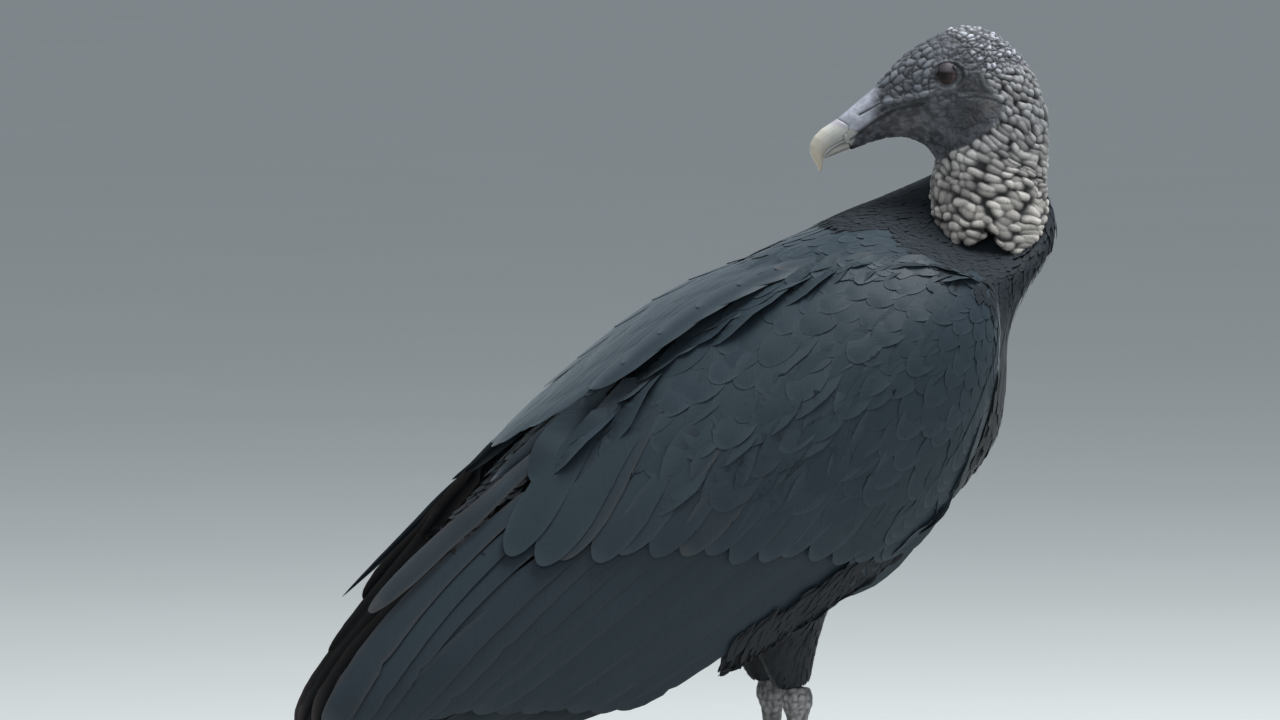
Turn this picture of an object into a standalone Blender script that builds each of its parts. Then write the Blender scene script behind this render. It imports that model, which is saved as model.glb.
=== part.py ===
"""American black vulture (Coragyps atratus), life size, standing, its head turned to look back over its tail.

The body faces +X, its left side is +Y and the floor is Z = 0. Sizes are in millimetres and are scaled to
metres where a mesh is made. Flesh pieces are lofts through stations. A station is a pair of profile points,
one on the back and one on the belly side, with the half width between them.
"""

import math

import bmesh
import bpy
from mathutils import Matrix, Vector

MM = 0.001
GAP = 0.35  # clearance between neighbouring pieces
UP = Vector((0, 0, 1))

HEAD_TURN = math.radians(162)  # from the body's forward direction round to the head's
NECK_AXIS_X = 105  # where the upright neck stands over the body's midline

EYE_RADIUS = 7.0
EYE_FORWARD = 19.0
EYE_HEIGHT = 391.5
EYE_SIDE = 12.3

# Each leg is a little ahead of or behind the other, so they have their own distance forward.
ANKLE_X = {"left": 5, "right": -5}
FOOT_X = {"left": 6, "right": -5}
ANKLE_HEIGHT = 91
LEG_SIDE = 31  # from the midline to each ankle
FOOT_SIDE = 33
FOOT_HEIGHT = 10

# Body, neck rim to tail base: back point (x, z), belly point (x, z), half width, then how far the ring droops
# on the right side and how far it rises on the left, where the turned neck lifts the collar.
BODY_STATIONS = [
    (79, 321, 136, 334, 29, 24, 24),
    (71, 321, 142, 325, 36, 23, 22),
    (57, 322, 135, 310, 44, 19, 17),
    (42, 323, 122, 291, 55, 13, 9),
    (28, 320, 111, 266, 66, 4, 4),
    (8, 313, 107, 238, 74, 0, 0),
    (-12, 305, 101, 208, 78, 0, 0),
    (-36, 292, 81, 180, 79, 0, 0),
    (-63, 272, 52, 152, 76, 0, 0),
    (-96, 248, 8, 136, 67, 0, 0),
    (-130, 220, -46, 128, 53, 0, 0),
    (-158, 196, -98, 127, 39, 0, 0),
    (-180, 174, -142, 126, 24, 0, 0),
]
RUFF_END = 4 / 12  # share of the body's stations that the feathered neck takes
RUFF_GAP = 0.0012  # half the gap behind the feathered neck, as a share of the body's stations
BODY_SQUARENESS = 0.95
BODY_COUNT = 22  # points round each ring

# Head and bare neck, bill base to collar, in the head's own frame: crown or nape point (forward, z), throat
# point (forward, z), half width.
HEAD_STATIONS = [
    (73.0, 369.0, 67.2, 354.2, 5.8),
    (66.2, 374.8, 61.2, 356.4, 6.8),
    (59.2, 380.6, 54.4, 358.8, 8.0),
    (52.4, 386.5, 47.4, 360.3, 9.8),
    (46.2, 394.0, 41.0, 360.6, 12.4),
    (38.8, 400.9, 35.2, 359.6, 15.2),
    (28.2, 408.2, 30.2, 357.4, 17.8),
    (15.8, 413.7, 26.8, 354.4, 19.2),
    (2.0, 414.0, 24.6, 351.4, 20.0),
    (-11.3, 406.5, 23.6, 349.0, 21.0),
    (-21.5, 395.4, 23.8, 346.0, 22.6),
    (-27.6, 382.6, 25.2, 343.0, 24.4),
    (-31.0, 369.6, 26.2, 339.0, 26.0),
    (-31.6, 355.4, 26.6, 334.0, 27.0),
    (-30.8, 342.0, 26.6, 328.0, 28.0),
    (-31.0, 326.0, 26.8, 320.0, 29.0),
    (-31.5, 310.0, 26.5, 308.0, 30.0),
    (-31.5, 296.0, 26.0, 296.0, 30.0),
]
NECK_START = 10 / 17  # share of the head's stations where the bare neck begins
NECK_GAP = 0.0011  # half the gap between head and bare neck, as a share of the head's stations
HEAD_COUNT = 16  # points round each ring
LOWER_BILL_COUNT = 12
BILL_SQUARENESS = 0.85

# The bare skin's two hanging lobes, seen along the head's side: centre (forward, z), radius, and the degrees
# at which each lobe's outline starts and ends. NOTCH is the point between them.
LOBES = [(11.5, 324.5, 15.5, 0, -132), (-17.0, 319.6, 15.0, -20, -180)]
NOTCH = (1.0, 318.0)
LOBE_POINTS = 8

# Horn of the upper bill, from the soft cere to the hook's tip: culmen point, cutting-edge point, half width.
UPPER_BILL_STATIONS = [
    (72.6, 369.4, 63.0, 363.6, 5.9),
    (75.9, 367.2, 66.3, 360.0, 5.7),
    (80.4, 364.3, 71.2, 357.6, 5.2),
    (84.0, 360.6, 75.0, 355.6, 4.7),
    (86.0, 356.8, 77.6, 353.6, 4.0),
    (86.3, 353.2, 79.0, 351.6, 3.3),
    (84.6, 349.6, 79.4, 349.2, 2.4),
    (82.7, 346.2, 79.6, 346.4, 1.5),
    (81.0, 342.7, 80.5, 342.8, 0.5),
]
LOWER_BILL_STATIONS = [
    (66.9, 358.6, 66.4, 354.2, 4.6),
    (70.5, 357.5, 70.0, 352.8, 4.3),
    (74.0, 355.6, 73.6, 351.4, 3.6),
    (77.0, 353.2, 76.8, 350.2, 2.6),
    (79.2, 350.9, 79.0, 349.8, 1.2),
]

# Folded wing, shoulder to the tips of the longest tertials: upper edge (x, z), lower edge (x, z), then the
# distance from the midline of the upper edge, of the middle and of the lower edge.
WING_STATIONS = [
    (87, 289, 90, 272, 62, 63, 60),
    (75, 297, 87, 247, 66, 74, 66),
    (52, 303, 79, 222, 66, 84, 68),
    (23, 305, 67, 194, 54, 90, 68),
    (-10, 298, 46, 166, 44, 92, 67),
    (-48, 276, 14, 140, 39, 90.5, 65),
    (-87, 249, -24, 115, 35, 84, 61),
    (-126, 217, -62, 94, 31, 74, 55),
    (-164, 185, -101, 80, 26, 62, 48),
    (-198, 153, -146, 76, 21, 50, 40),
    (-226, 125, -190, 74, 17, 40, 33),
    (-244, 101, -226, 70, 14, 32, 28),
    (-249, 83, -245, 70, 13, 27, 25),
]
WING_EDGE = 1.6  # thickness of the wing's upper and lower edges
WING_THICKNESS = (5, 12, 16, 17, 16, 14, 11, 9, 7, 5, 4, 3, 2)
WING_BULGE = 2.1  # exponent of the outer face's arch
WING_ARC = 8  # points from the upper to the lower edge

# Primaries that show past the secondaries: upper edge, lower edge, distance from the midline of each.
PRIMARY_STATIONS = [
    (-78, 122, -84, 90, 44, 45),
    (-110, 108, -118, 76, 39.5, 40.5),
    (-145, 90, -156, 62, 33.5, 34.5),
    (-180, 67, -190, 48, 31.5, 32),
    (-212, 54, -222, 37, 34.5, 35),
    (-238, 39, -240, 32, 36, 36),
]
PRIMARY_THICKNESS = 3.2
PRIMARY_COUNT = 10
PRIMARY_SQUARENESS = 0.7

# Tail fan: middle line (x, z), half width, sag of its sides below the middle.
TAIL_STATIONS = [
    (-128, 152, 20, 3),
    (-160, 118, 25, 4),
    (-190, 86, 27, 5),
    (-218, 57, 30, 6),
    (-238, 37, 33, 6),
    (-246, 29, 29, 6),
]
TAIL_THICKNESS = 3.4
TAIL_ARC = 6  # strips across the fan

# Feathered thigh: front (x, z) and back (x, z) with x from the ankle, half width, outward shift from the
# ankle.
THIGH_STATIONS = [
    (27, 162, -40, 150, 20, 8),
    (18, 140, -31, 128, 18, 5),
    (11.5, 120, -23, 112, 14, 2),
    (8.5, 104, -16, 100, 10.5, 0),
    (7.5, 93, -11.5, 91, 8, 0),
]
THIGH_COUNT = 10

# Bare shank: height share from ankle to foot, half depth, half width.
SHANK_SECTIONS = [
    (-0.03, 6.4, 5.8),
    (0.02, 8.2, 7.4),
    (0.08, 8.2, 7.6),
    (0.16, 5.6, 5.4),
    (0.35, 4.5, 4.4),
    (0.60, 4.5, 4.6),
    (0.82, 5.2, 5.6),
    (0.95, 6.8, 7.6),
    (1.05, 6.2, 7.0),
]
SHANK_COUNT = 8

# Toes: heading from straight ahead (outward positive), length to the claw, radius at the root, claw length.
TOES = {
    "inner_toe": (-34, 45, 4.6, 13),
    "middle_toe": (2, 68, 4.9, 14),
    "outer_toe": (37, 48, 4.5, 12),
    "hind_toe": (194, 19, 4.2, 12),
}
TOE_STRETCHES = {"inner_toe": 2, "middle_toe": 3, "outer_toe": 3, "hind_toe": 1}
TOE_COUNT = 8
TOE_THINNING = 0.34  # share of the root's radius lost by the claw
TOE_JOINT_SWELL = 0.11
TOE_SIT = 0.72  # height of the toe's centre, as a share of its radius, so that its pad lies flat
CLAW_COUNT = 6
CLAW_DEPTH_SHARE = 0.69  # claw's half depth at its root, as a share of the toe's radius
CLAW_SIDE_SHARE = 0.72  # claw's half width, as a share of its half depth
CLAW_TIP_HEIGHT = 0.6
CLAW_ROOT_INSET = 1.5

MATERIALS = {
    "plumage": ((0.030, 0.038, 0.046), 0.62),
    "head_skin": ((0.085, 0.092, 0.105), 0.66),
    "neck_skin": ((0.24, 0.225, 0.21), 0.72),
    "horn": ((0.50, 0.46, 0.38), 0.36),
    "eye": ((0.035, 0.022, 0.018), 0.08),
    "leg_skin": ((0.30, 0.29, 0.275), 0.75),
    "claw": ((0.045, 0.042, 0.040), 0.38),
}


# ---------------------------------------------------------------- helpers


def spline_rows(rows, steps):
    """Rows of numbers with steps - 1 more between each pair, on a Catmull-Rom curve through them."""
    last = len(rows) - 1
    found = []
    for k in range(last * steps + 1):
        i, t = min(k // steps, last - 1), k / steps - min(k // steps, last - 1)
        a, b, c, d = (rows[min(max(j, 0), last)] for j in (i - 1, i, i + 1, i + 2))
        found.append(
            tuple(
                0.5
                * (
                    2 * q
                    + (r - p) * t
                    + (2 * p - 5 * q + 4 * r - s) * t**2
                    + (3 * q - p - 3 * r + s) * t**3
                )
                for p, q, r, s in zip(a, b, c, d)
            )
        )
    return found


def rows_between(rows, start, end):
    """The rows from share start to share end of the list, with both ends worked out exactly."""
    last = len(rows) - 1

    def at(share):
        i = min(int(share * last), last - 1)
        t = share * last - i
        return tuple(p + (q - p) * t for p, q in zip(rows[i], rows[i + 1]))

    inner = [r for k, r in enumerate(rows) if start * last + 0.2 < k < end * last - 0.2]
    return [at(start)] + inner + [at(end)]


def material(name):
    made = bpy.data.materials.get(name)
    if made is None:
        colour, roughness = MATERIALS[name]
        made = bpy.data.materials.new(name)
        made.use_nodes = True
        shader = made.node_tree.nodes["Principled BSDF"]
        shader.inputs["Base Color"].default_value = (*colour, 1)
        shader.inputs["Roughness"].default_value = roughness
        shader.inputs["Metallic"].default_value = 0
    return made


def collection(name, shown=True):
    found = bpy.data.collections.get(name)
    if found is None:
        found = bpy.data.collections.new(name)
        bpy.context.scene.collection.children.link(found)
        found.hide_render = not shown
    return found


def face_outward(mesh_builder):
    bmesh.ops.recalc_face_normals(mesh_builder, faces=mesh_builder.faces)
    if mesh_builder.calc_volume(signed=True) < 0:
        bmesh.ops.reverse_faces(mesh_builder, faces=mesh_builder.faces)


def object_from(mesh_builder, name, material_name=None):
    """An object from a filled bmesh in millimetres: a part if it has a material, and otherwise a cutter."""
    face_outward(mesh_builder)
    bmesh.ops.scale(mesh_builder, vec=(MM, MM, MM), verts=mesh_builder.verts)
    data = bpy.data.meshes.new(name)
    mesh_builder.to_mesh(data)
    mesh_builder.free()
    made = bpy.data.objects.new(name, data)
    if material_name:
        collection("black_vulture").objects.link(made)
        data.materials.append(material(material_name))
        data.shade_smooth()
        data.set_sharp_from_angle(angle=math.radians(50))
    else:
        collection("cutters", shown=False).objects.link(made)
        made.hide_render = True
        made.display_type = "WIRE"
    return made


def loft(rings, name, material_name=None):
    """A closed solid through rings of points, each ring with the same count, with flat ends.

    With no material it is a cutter, swollen by the gap that it leaves round the piece of the same rings.
    """
    made = bmesh.new()
    loops = [[made.verts.new(p) for p in ring] for ring in rings]
    count = len(loops[0])
    for near, far in zip(loops, loops[1:]):
        for k in range(count):
            made.faces.new((near[k], near[(k + 1) % count], far[(k + 1) % count], far[k]))
    made.faces.new(loops[0])
    made.faces.new(reversed(loops[-1]))
    if material_name is None:
        swell(made, GAP)
    return object_from(made, name, material_name)


def swell(mesh_builder, by):
    """Moves every face outward by the same distance, or less at a sharp point."""
    face_outward(mesh_builder)
    mesh_builder.normal_update()
    moves = [v.normal * min(v.calc_shell_factor(), 2.5) * by for v in mesh_builder.verts]
    for vertex, move in zip(mesh_builder.verts, moves):
        vertex.co += move


def oval(top, bottom, side, count, squareness=1.0, other_side=None):
    """A ring whose long axis runs from top to bottom and whose half width is the vector side.

    A squareness below 1 fills the corners out. other_side is the half width the other way, where it differs.
    """
    centre, half = (top + bottom) / 2, (top - bottom) / 2
    ring = []
    for k in range(count):
        turn = 2 * math.pi * k / count
        across = abs(math.sin(turn)) ** squareness
        reach = side if math.sin(turn) > 0 else other_side or -side
        ring.append(centre + half * math.cos(turn) + reach * across)
    return ring


def cut(piece, *cutters):
    """Takes cutters away from piece, and keeps the largest body that is left."""
    for cutter in cutters:
        difference = piece.modifiers.new("cut_" + cutter.name, "BOOLEAN")
        difference.operation = "DIFFERENCE"
        difference.object = cutter
    settle(piece)


def keep_inside(piece, cutter):
    common = piece.modifiers.new("inside_" + cutter.name, "BOOLEAN")
    common.operation = "INTERSECT"
    common.object = cutter
    settle(piece)


def settle(piece):
    """Applies the modifiers and drops every loose body but the largest."""
    bpy.context.view_layer.update()
    graph = bpy.context.evaluated_depsgraph_get()
    data = bpy.data.meshes.new_from_object(piece.evaluated_get(graph))
    piece.modifiers.clear()
    piece.data = data
    made = bmesh.new()
    made.from_mesh(data)
    bmesh.ops.remove_doubles(made, verts=made.verts, dist=0.00002)
    unseen, bodies = set(made.faces), []
    while unseen:
        body, edge_of_body = set(), [unseen.pop()]
        while edge_of_body:
            face = edge_of_body.pop()
            body.add(face)
            joined = {f for e in face.edges for f in e.link_faces} & unseen
            unseen -= joined
            edge_of_body += joined
        bodies.append(body)
    bodies.sort(key=lambda b: sum(f.calc_area() for f in b))
    spare = [f for body in bodies[:-1] for f in body]
    bmesh.ops.delete(made, geom=spare, context="FACES")
    face_outward(made)
    made.to_mesh(data)
    made.free()


# ---------------------------------------------------------------- body


def body_rings(start, end):
    """Rings of the feathered body from share start to end of its stations."""
    rings = []
    for bx, bz, fx, fz, half, droop, rise in rows_between(spline_rows(BODY_STATIONS, 2), start, end):
        top, bottom = Vector((bx, 0, bz)), Vector((fx, 0, fz))
        left, right = Vector((0, half, rise)), Vector((0, -half, -droop))
        rings.append(oval(top, bottom, left, BODY_COUNT, BODY_SQUARENESS, right))
    return rings


def make_body():
    """Makes the feathered neck and the trunk, and gives back a cutter of each."""
    loft(body_rings(0.0, RUFF_END - RUFF_GAP), "neck_feathered", "plumage")
    loft(body_rings(RUFF_END + RUFF_GAP, 1.0), "trunk", "plumage")
    return loft(body_rings(0.0, RUFF_END), "cut_ruff"), loft(body_rings(RUFF_END, 1.0), "cut_trunk")


# ---------------------------------------------------------------- head and bare neck


def head_frame():
    """Carries the head's frame (forward, left, up) to the body's."""
    turn = Matrix.Rotation(HEAD_TURN, 4, "Z")
    return Matrix.Translation((NECK_AXIS_X, 0, 0)) @ turn


def head_rings(stations, steps, start=0.0, end=1.0, count=HEAD_COUNT, squareness=BODY_SQUARENESS):
    to_body = head_frame()
    rings = []
    for tx, tz, bx, bz, half in rows_between(spline_rows(stations, steps), start, end):
        top, bottom = Vector((tx, 0, tz)), Vector((bx, 0, bz))
        ring = oval(top, bottom, Vector((0, half, 0)), count, squareness)
        rings.append([to_body @ p for p in ring])
    return rings


def ball(centre, radius, name, material_name=None, segments=14, rings=8):
    made = bmesh.new()
    bmesh.ops.create_uvsphere(made, u_segments=segments, v_segments=rings, radius=radius)
    bmesh.ops.translate(made, vec=centre, verts=made.verts)
    return object_from(made, name, material_name)


def lobe_prism():
    """A tall prism along the head's side direction, whose lower edge is the bare skin's two hanging lobes."""
    to_body = head_frame()
    reach, top = 60, 470
    outline = [(reach, top), (reach, LOBES[0][1])]
    for lobe, (cx, cz, radius, first, last) in enumerate(LOBES):
        for k in range(LOBE_POINTS + 1):
            turn = math.radians(first + (last - first) * k / LOBE_POINTS)
            outline.append((cx + radius * math.cos(turn), cz + radius * math.sin(turn)))
        if lobe == 0:
            outline.append(NOTCH)
    outline += [(-reach, LOBES[1][1]), (-reach, top)]
    rings = [[to_body @ Vector((p, side, z)) for p, z in outline] for side in (-reach, reach)]
    return loft(rings, "cut_lobes")


def make_head(ruff_cutter):
    head_part = head_rings(HEAD_STATIONS, 2, 0.0, NECK_START - NECK_GAP)
    neck_part = head_rings(HEAD_STATIONS, 2, NECK_START + NECK_GAP, 1.0)
    head = loft(head_part, "head", "head_skin")
    neck = loft(neck_part, "neck_bare", "neck_skin")
    keep_inside(neck, lobe_prism())
    cut(neck, ruff_cutter)
    upper_rings = head_rings(UPPER_BILL_STATIONS, 1, squareness=BILL_SQUARENESS)
    lower_rings = head_rings(LOWER_BILL_STATIONS, 1, 0.0, 1.0, LOWER_BILL_COUNT, BILL_SQUARENESS)
    loft(upper_rings, "bill_upper", "horn")
    lower = loft(lower_rings, "bill_lower", "horn")
    upper_cutter = loft(upper_rings, "cut_upper_bill")
    lower_cutter = loft(lower_rings, "cut_lower_bill")
    cut(lower, upper_cutter)
    sockets = []
    for side, name in ((1, "left"), (-1, "right")):
        centre = head_frame() @ Vector((EYE_FORWARD, side * EYE_SIDE, EYE_HEIGHT))
        ball(centre, EYE_RADIUS, "eye_" + name, "eye")
        sockets.append(ball(centre, EYE_RADIUS + GAP, "cut_eye_" + name))
    cut(head, upper_cutter, lower_cutter, *sockets)


# ---------------------------------------------------------------- wings and tail


def wing_rings(side):
    """Lens sections of a folded wing: an outer arc from upper to lower edge and an inner arc back."""
    rows = [a + (b,) for a, b in zip(WING_STATIONS, WING_THICKNESS)]
    rings = []
    for ux, uz, lx, lz, u_out, mid_out, l_out, thick in spline_rows(rows, 2):
        upper, lower = Vector((ux, 0, uz)), Vector((lx, 0, lz))
        outer, inner = [], []
        for k in range(WING_ARC):
            w = 1 - 2 * k / (WING_ARC - 1)
            edge = u_out if w > 0 else l_out
            out = mid_out + (edge - mid_out) * abs(w) ** WING_BULGE
            point = (upper + lower) / 2 + (upper - lower) / 2 * w
            depth = WING_EDGE + thick * (1 - 0.9 * w * w) * (abs(w) < 1)
            outer.append(point + Vector((0, side * out, 0)))
            inner.append(point + Vector((0, side * (out - depth), 0)))
        rings.append(outer + list(reversed(inner)))
    return rings


def blade_rings(side):
    """Sections of the bunched primaries."""
    rings = []
    half = Vector((0, side * PRIMARY_THICKNESS / 2, 0))
    for ux, uz, lx, lz, u_out, l_out in spline_rows(PRIMARY_STATIONS, 2):
        upper, lower = Vector((ux, side * u_out, uz)), Vector((lx, side * l_out, lz))
        rings.append(oval(upper, lower, half, PRIMARY_COUNT, PRIMARY_SQUARENESS))
    return rings


def tail_rings():
    """Sections of the tail fan, arched over its middle line."""
    rings = []
    rows = spline_rows(TAIL_STATIONS, 2)
    for k, (x, z, half, sag) in enumerate(rows):
        ahead, behind = rows[min(k + 1, len(rows) - 1)], rows[max(k - 1, 0)]
        along = Vector((ahead[0] - behind[0], 0, ahead[1] - behind[1])).normalized()
        normal = Vector((-along.z, 0, along.x))
        if normal.z < 0:
            normal.negate()
        over, under = [], []
        for j in range(TAIL_ARC + 1):
            w = 2 * j / TAIL_ARC - 1
            base = Vector((x, w * half, z)) - normal * sag * w * w
            lift = normal * TAIL_THICKNESS / 2 * (1 - 0.55 * abs(w) ** 3)
            over.append(base + lift)
            under.append(base - lift)
        rings.append(over + list(reversed(under)))
    return rings


def make_wings_and_tail(body_cutters):
    """Makes them, and gives back cutters of the wings."""
    cut(loft(tail_rings(), "tail", "plumage"), *body_cutters)
    wing_cutters = []
    for side, name in ((1, "left"), (-1, "right")):
        cut(loft(wing_rings(side), "wing_" + name, "plumage"), *body_cutters)
        cut(loft(blade_rings(side), "primaries_" + name, "plumage"), *body_cutters)
        wing_cutters.append(loft(wing_rings(side), "cut_wing_" + name))
    return wing_cutters


# ---------------------------------------------------------------- legs


def thigh_rings(side, name):
    rings = []
    for fx, fz, bx, bz, half, shift in spline_rows(THIGH_STATIONS, 2):
        y = side * (LEG_SIDE + shift)
        front, back = Vector((ANKLE_X[name] + fx, y, fz)), Vector((ANKLE_X[name] + bx, y, bz))
        rings.append(oval(front, back, Vector((0, half, 0)), THIGH_COUNT))
    return rings


def shank_rings(side, name):
    ankle = Vector((ANKLE_X[name], side * LEG_SIDE, ANKLE_HEIGHT))
    foot = Vector((FOOT_X[name], side * FOOT_SIDE, FOOT_HEIGHT))
    rings = []
    for share, depth, half in spline_rows(SHANK_SECTIONS, 2):
        centre = ankle.lerp(foot, share)
        reach = Vector((depth, 0, 0))
        rings.append(oval(centre + reach, centre - reach, Vector((0, half, 0)), SHANK_COUNT))
    return rings


def toe_heading(side, degrees):
    """Outward from the leg is positive, so the left foot turns the other way from the right one."""
    turn = math.radians(degrees) * side
    return Vector((math.cos(turn), math.sin(turn), 0))


def toe_rings(root, heading, length, radius, stretches):
    """A toe that thins to its claw, swollen at each joint, its centre sinking to the floor."""
    across = heading.cross(UP)
    steps = 4 * stretches
    rings = []
    for k in range(steps + 1):
        share = k / steps
        joint = 1 + TOE_JOINT_SWELL * math.cos(2 * math.pi * stretches * share)
        size = radius * (1 - TOE_THINNING * share) * joint
        height = size * TOE_SIT + (FOOT_HEIGHT - radius) * max(0, 1 - 4.5 * share) ** 2
        centre = root + heading * length * share
        centre.z = height
        rings.append(oval(centre + UP * size, centre - UP * size, across * size, TOE_COUNT))
    return rings


def claw_rings(tip_of_toe, heading, length, radius):
    """A claw that arches forward and down, its point just above the floor."""
    across = heading.cross(UP)
    rings = []
    for k in range(7):
        share = k / 6
        turn = math.radians(-28 + 88 * share)
        size = radius * (1 - 0.9 * share**1.3)
        centre = tip_of_toe + heading * (length * math.sin(math.pi / 2 * share) * 0.92)
        centre.z = tip_of_toe.z + length * 0.10 * math.sin(math.pi * share)
        centre.z -= (tip_of_toe.z - CLAW_TIP_HEIGHT) * share**1.6
        lift = (UP * math.cos(turn) + heading * math.sin(turn)) * size
        rings.append(oval(centre + lift, centre - lift, across * size * CLAW_SIDE_SHARE, CLAW_COUNT))
    return rings


def floor_cutter():
    made = bmesh.new()
    bmesh.ops.create_cube(made, size=1)
    bmesh.ops.scale(made, vec=(1200, 1200, 100), verts=made.verts)
    bmesh.ops.translate(made, vec=(0, 0, -50), verts=made.verts)
    return object_from(made, "cut_floor")


def make_legs(body_cutters):
    floor = floor_cutter()
    for side, name in ((1, "left"), (-1, "right")):
        shank_cutter = loft(shank_rings(side, name), "cut_shank_" + name)
        thigh = loft(thigh_rings(side, name), "thigh_" + name, "plumage")
        cut(thigh, *body_cutters, shank_cutter)
        shank = loft(shank_rings(side, name), "shank_" + name, "leg_skin")
        cut(shank, floor)
        root = Vector((FOOT_X[name], side * FOOT_SIDE, FOOT_HEIGHT))
        earlier = []
        for toe_name, (degrees, length, radius, claw_length) in TOES.items():
            heading = toe_heading(side, degrees)
            stretches = TOE_STRETCHES[toe_name]
            full = f"{toe_name}_{name}"
            sizes = (root, heading, length, radius, stretches)
            toe = loft(toe_rings(*sizes), full, "leg_skin")
            cut(toe, shank_cutter, *earlier, floor)
            toe_cutter = loft(toe_rings(*sizes), "cut_" + full)
            earlier.append(toe_cutter)
            tip = root + heading * (length - CLAW_ROOT_INSET)
            tip.z = radius * 0.53 + CLAW_TIP_HEIGHT
            shape = claw_rings(tip, heading, claw_length, CLAW_DEPTH_SHARE * radius)
            claw = loft(shape, f"claw_{full}", "claw")
            cut(claw, toe_cutter, floor)


# ---------------------------------------------------------------- whole bird


def centre_on_floor():
    """Moves every piece so that the bird's box stands on the origin by the middle of its underside."""
    corners = [
        o.matrix_world @ v.co for o in collection("black_vulture").objects for v in o.data.vertices
    ]
    low = Vector([min(c[k] for c in corners) for k in range(3)])
    high = Vector([max(c[k] for c in corners) for k in range(3)])
    shift = Vector((-(low.x + high.x) / 2, -(low.y + high.y) / 2, -low.z))
    for o in collection("black_vulture").objects:
        o.data.transform(Matrix.Translation(shift))
    print("centred by", [round(s / MM, 3) for s in shift])


def main():
    for old in list(bpy.data.objects):
        bpy.data.objects.remove(old)
    ruff_cutter, trunk_cutter = make_body()
    make_head(ruff_cutter)
    wing_cutters = make_wings_and_tail((ruff_cutter, trunk_cutter))
    make_legs((trunk_cutter, *wing_cutters))
    centre_on_floor()


main()
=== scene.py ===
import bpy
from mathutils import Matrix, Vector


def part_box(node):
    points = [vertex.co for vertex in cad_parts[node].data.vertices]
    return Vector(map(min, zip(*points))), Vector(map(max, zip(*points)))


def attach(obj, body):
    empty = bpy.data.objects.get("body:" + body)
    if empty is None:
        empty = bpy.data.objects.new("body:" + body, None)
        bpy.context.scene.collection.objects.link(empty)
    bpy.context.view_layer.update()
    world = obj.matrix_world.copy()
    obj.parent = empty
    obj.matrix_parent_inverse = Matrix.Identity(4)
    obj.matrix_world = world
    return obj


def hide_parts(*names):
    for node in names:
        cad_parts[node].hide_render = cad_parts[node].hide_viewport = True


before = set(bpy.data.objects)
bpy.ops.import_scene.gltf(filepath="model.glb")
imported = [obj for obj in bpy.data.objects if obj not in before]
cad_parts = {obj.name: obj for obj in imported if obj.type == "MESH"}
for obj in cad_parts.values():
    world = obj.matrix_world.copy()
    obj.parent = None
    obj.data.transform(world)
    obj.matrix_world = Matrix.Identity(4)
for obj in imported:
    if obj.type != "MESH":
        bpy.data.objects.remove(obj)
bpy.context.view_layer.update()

"""American black vulture, standing, with its head turned to look back over its tail.

Shapes are worked out in millimetres in the bird's own frame: X forward, Y to its left, Z up from the floor.
The head has a frame of its own: forward along the bill, left, up. One skin stands for the flesh, and the
plumage is made of closed vanes laid over it. Colours are in linear light.
"""

import itertools
import math

import bmesh
import bpy
import numpy as np
from mathutils import Vector
from mathutils.bvhtree import BVHTree
from mathutils.kdtree import KDTree

MM = 0.001
HEAD_TURN = math.radians(162)
EYE = np.array([19.0, 12.3, 391.5])  # centre of the left eye in the head's frame
EYE_RADIUS = 7.0
NECK_X = 105.0  # the neck's axis in the bird's frame
SIDES = {"left": 1, "right": -1}
PLUMED = ["trunk", "neck_feathered", "wing_left", "wing_right", "thigh_left", "thigh_right"]
LEGS = [f"{part}_{side}" for side in SIDES for part in
        ("shank", "inner_toe", "middle_toe", "outer_toe", "hind_toe")]


def middle(node):
    low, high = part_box(node)
    return (np.array(low) + np.array(high)) / 2


EYES = (middle("eye_left") + middle("eye_right")) / 2 / MM
# From the bird's frame to the scene's.
SHIFT = np.array([EYES[0] - EYE[0] * math.cos(HEAD_TURN) - NECK_X, 0.0, 0.0])


# ---- numbers and noise


def unit(v):
    return v / np.maximum(np.linalg.norm(v, axis=-1, keepdims=True), 1e-9)


def turned(a, b, angle):
    c, s = np.cos(angle), np.sin(angle)
    return a * c - b * s, a * s + b * c


def ramp(x, low, high):
    t = np.clip((np.asarray(x, float) - low) / (high - low), 0, 1)
    return t * t * (3 - 2 * t)


def bell(x, centre, width):
    return np.exp(-(((np.asarray(x, float) - centre) / width) ** 2))


def softened(rows):
    """Each row eased over its neighbours along the second axis, the ends kept."""
    soft = rows.copy()
    soft[:, 1:-1] = (rows[:, :-2] + 2 * rows[:, 1:-1] + rows[:, 2:]) / 4
    return soft


def blend(under, over, share):
    """Colours, with another colour laid over each by a share of its own."""
    share = share[:, None]
    return under * (1 - share) + np.asarray(over) * share


def hashed(cell, seed):
    """A number from 0 to 1 for each row of whole numbers."""
    n = cell[..., 0] * 73856093 ^ cell[..., 1] * 19349663 ^ cell[..., 2] * 83492791 ^ seed * 2654435
    n = (n ^ (n >> 13)) & 0x7FFFFFFF
    n = (n * 1274126177 + 12345) & 0x7FFFFFFF
    n = ((n ^ (n >> 15)) * 668265263) & 0x7FFFFFFF
    return ((n ^ (n >> 11)) & 0xFFFFF) / 0xFFFFF


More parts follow.
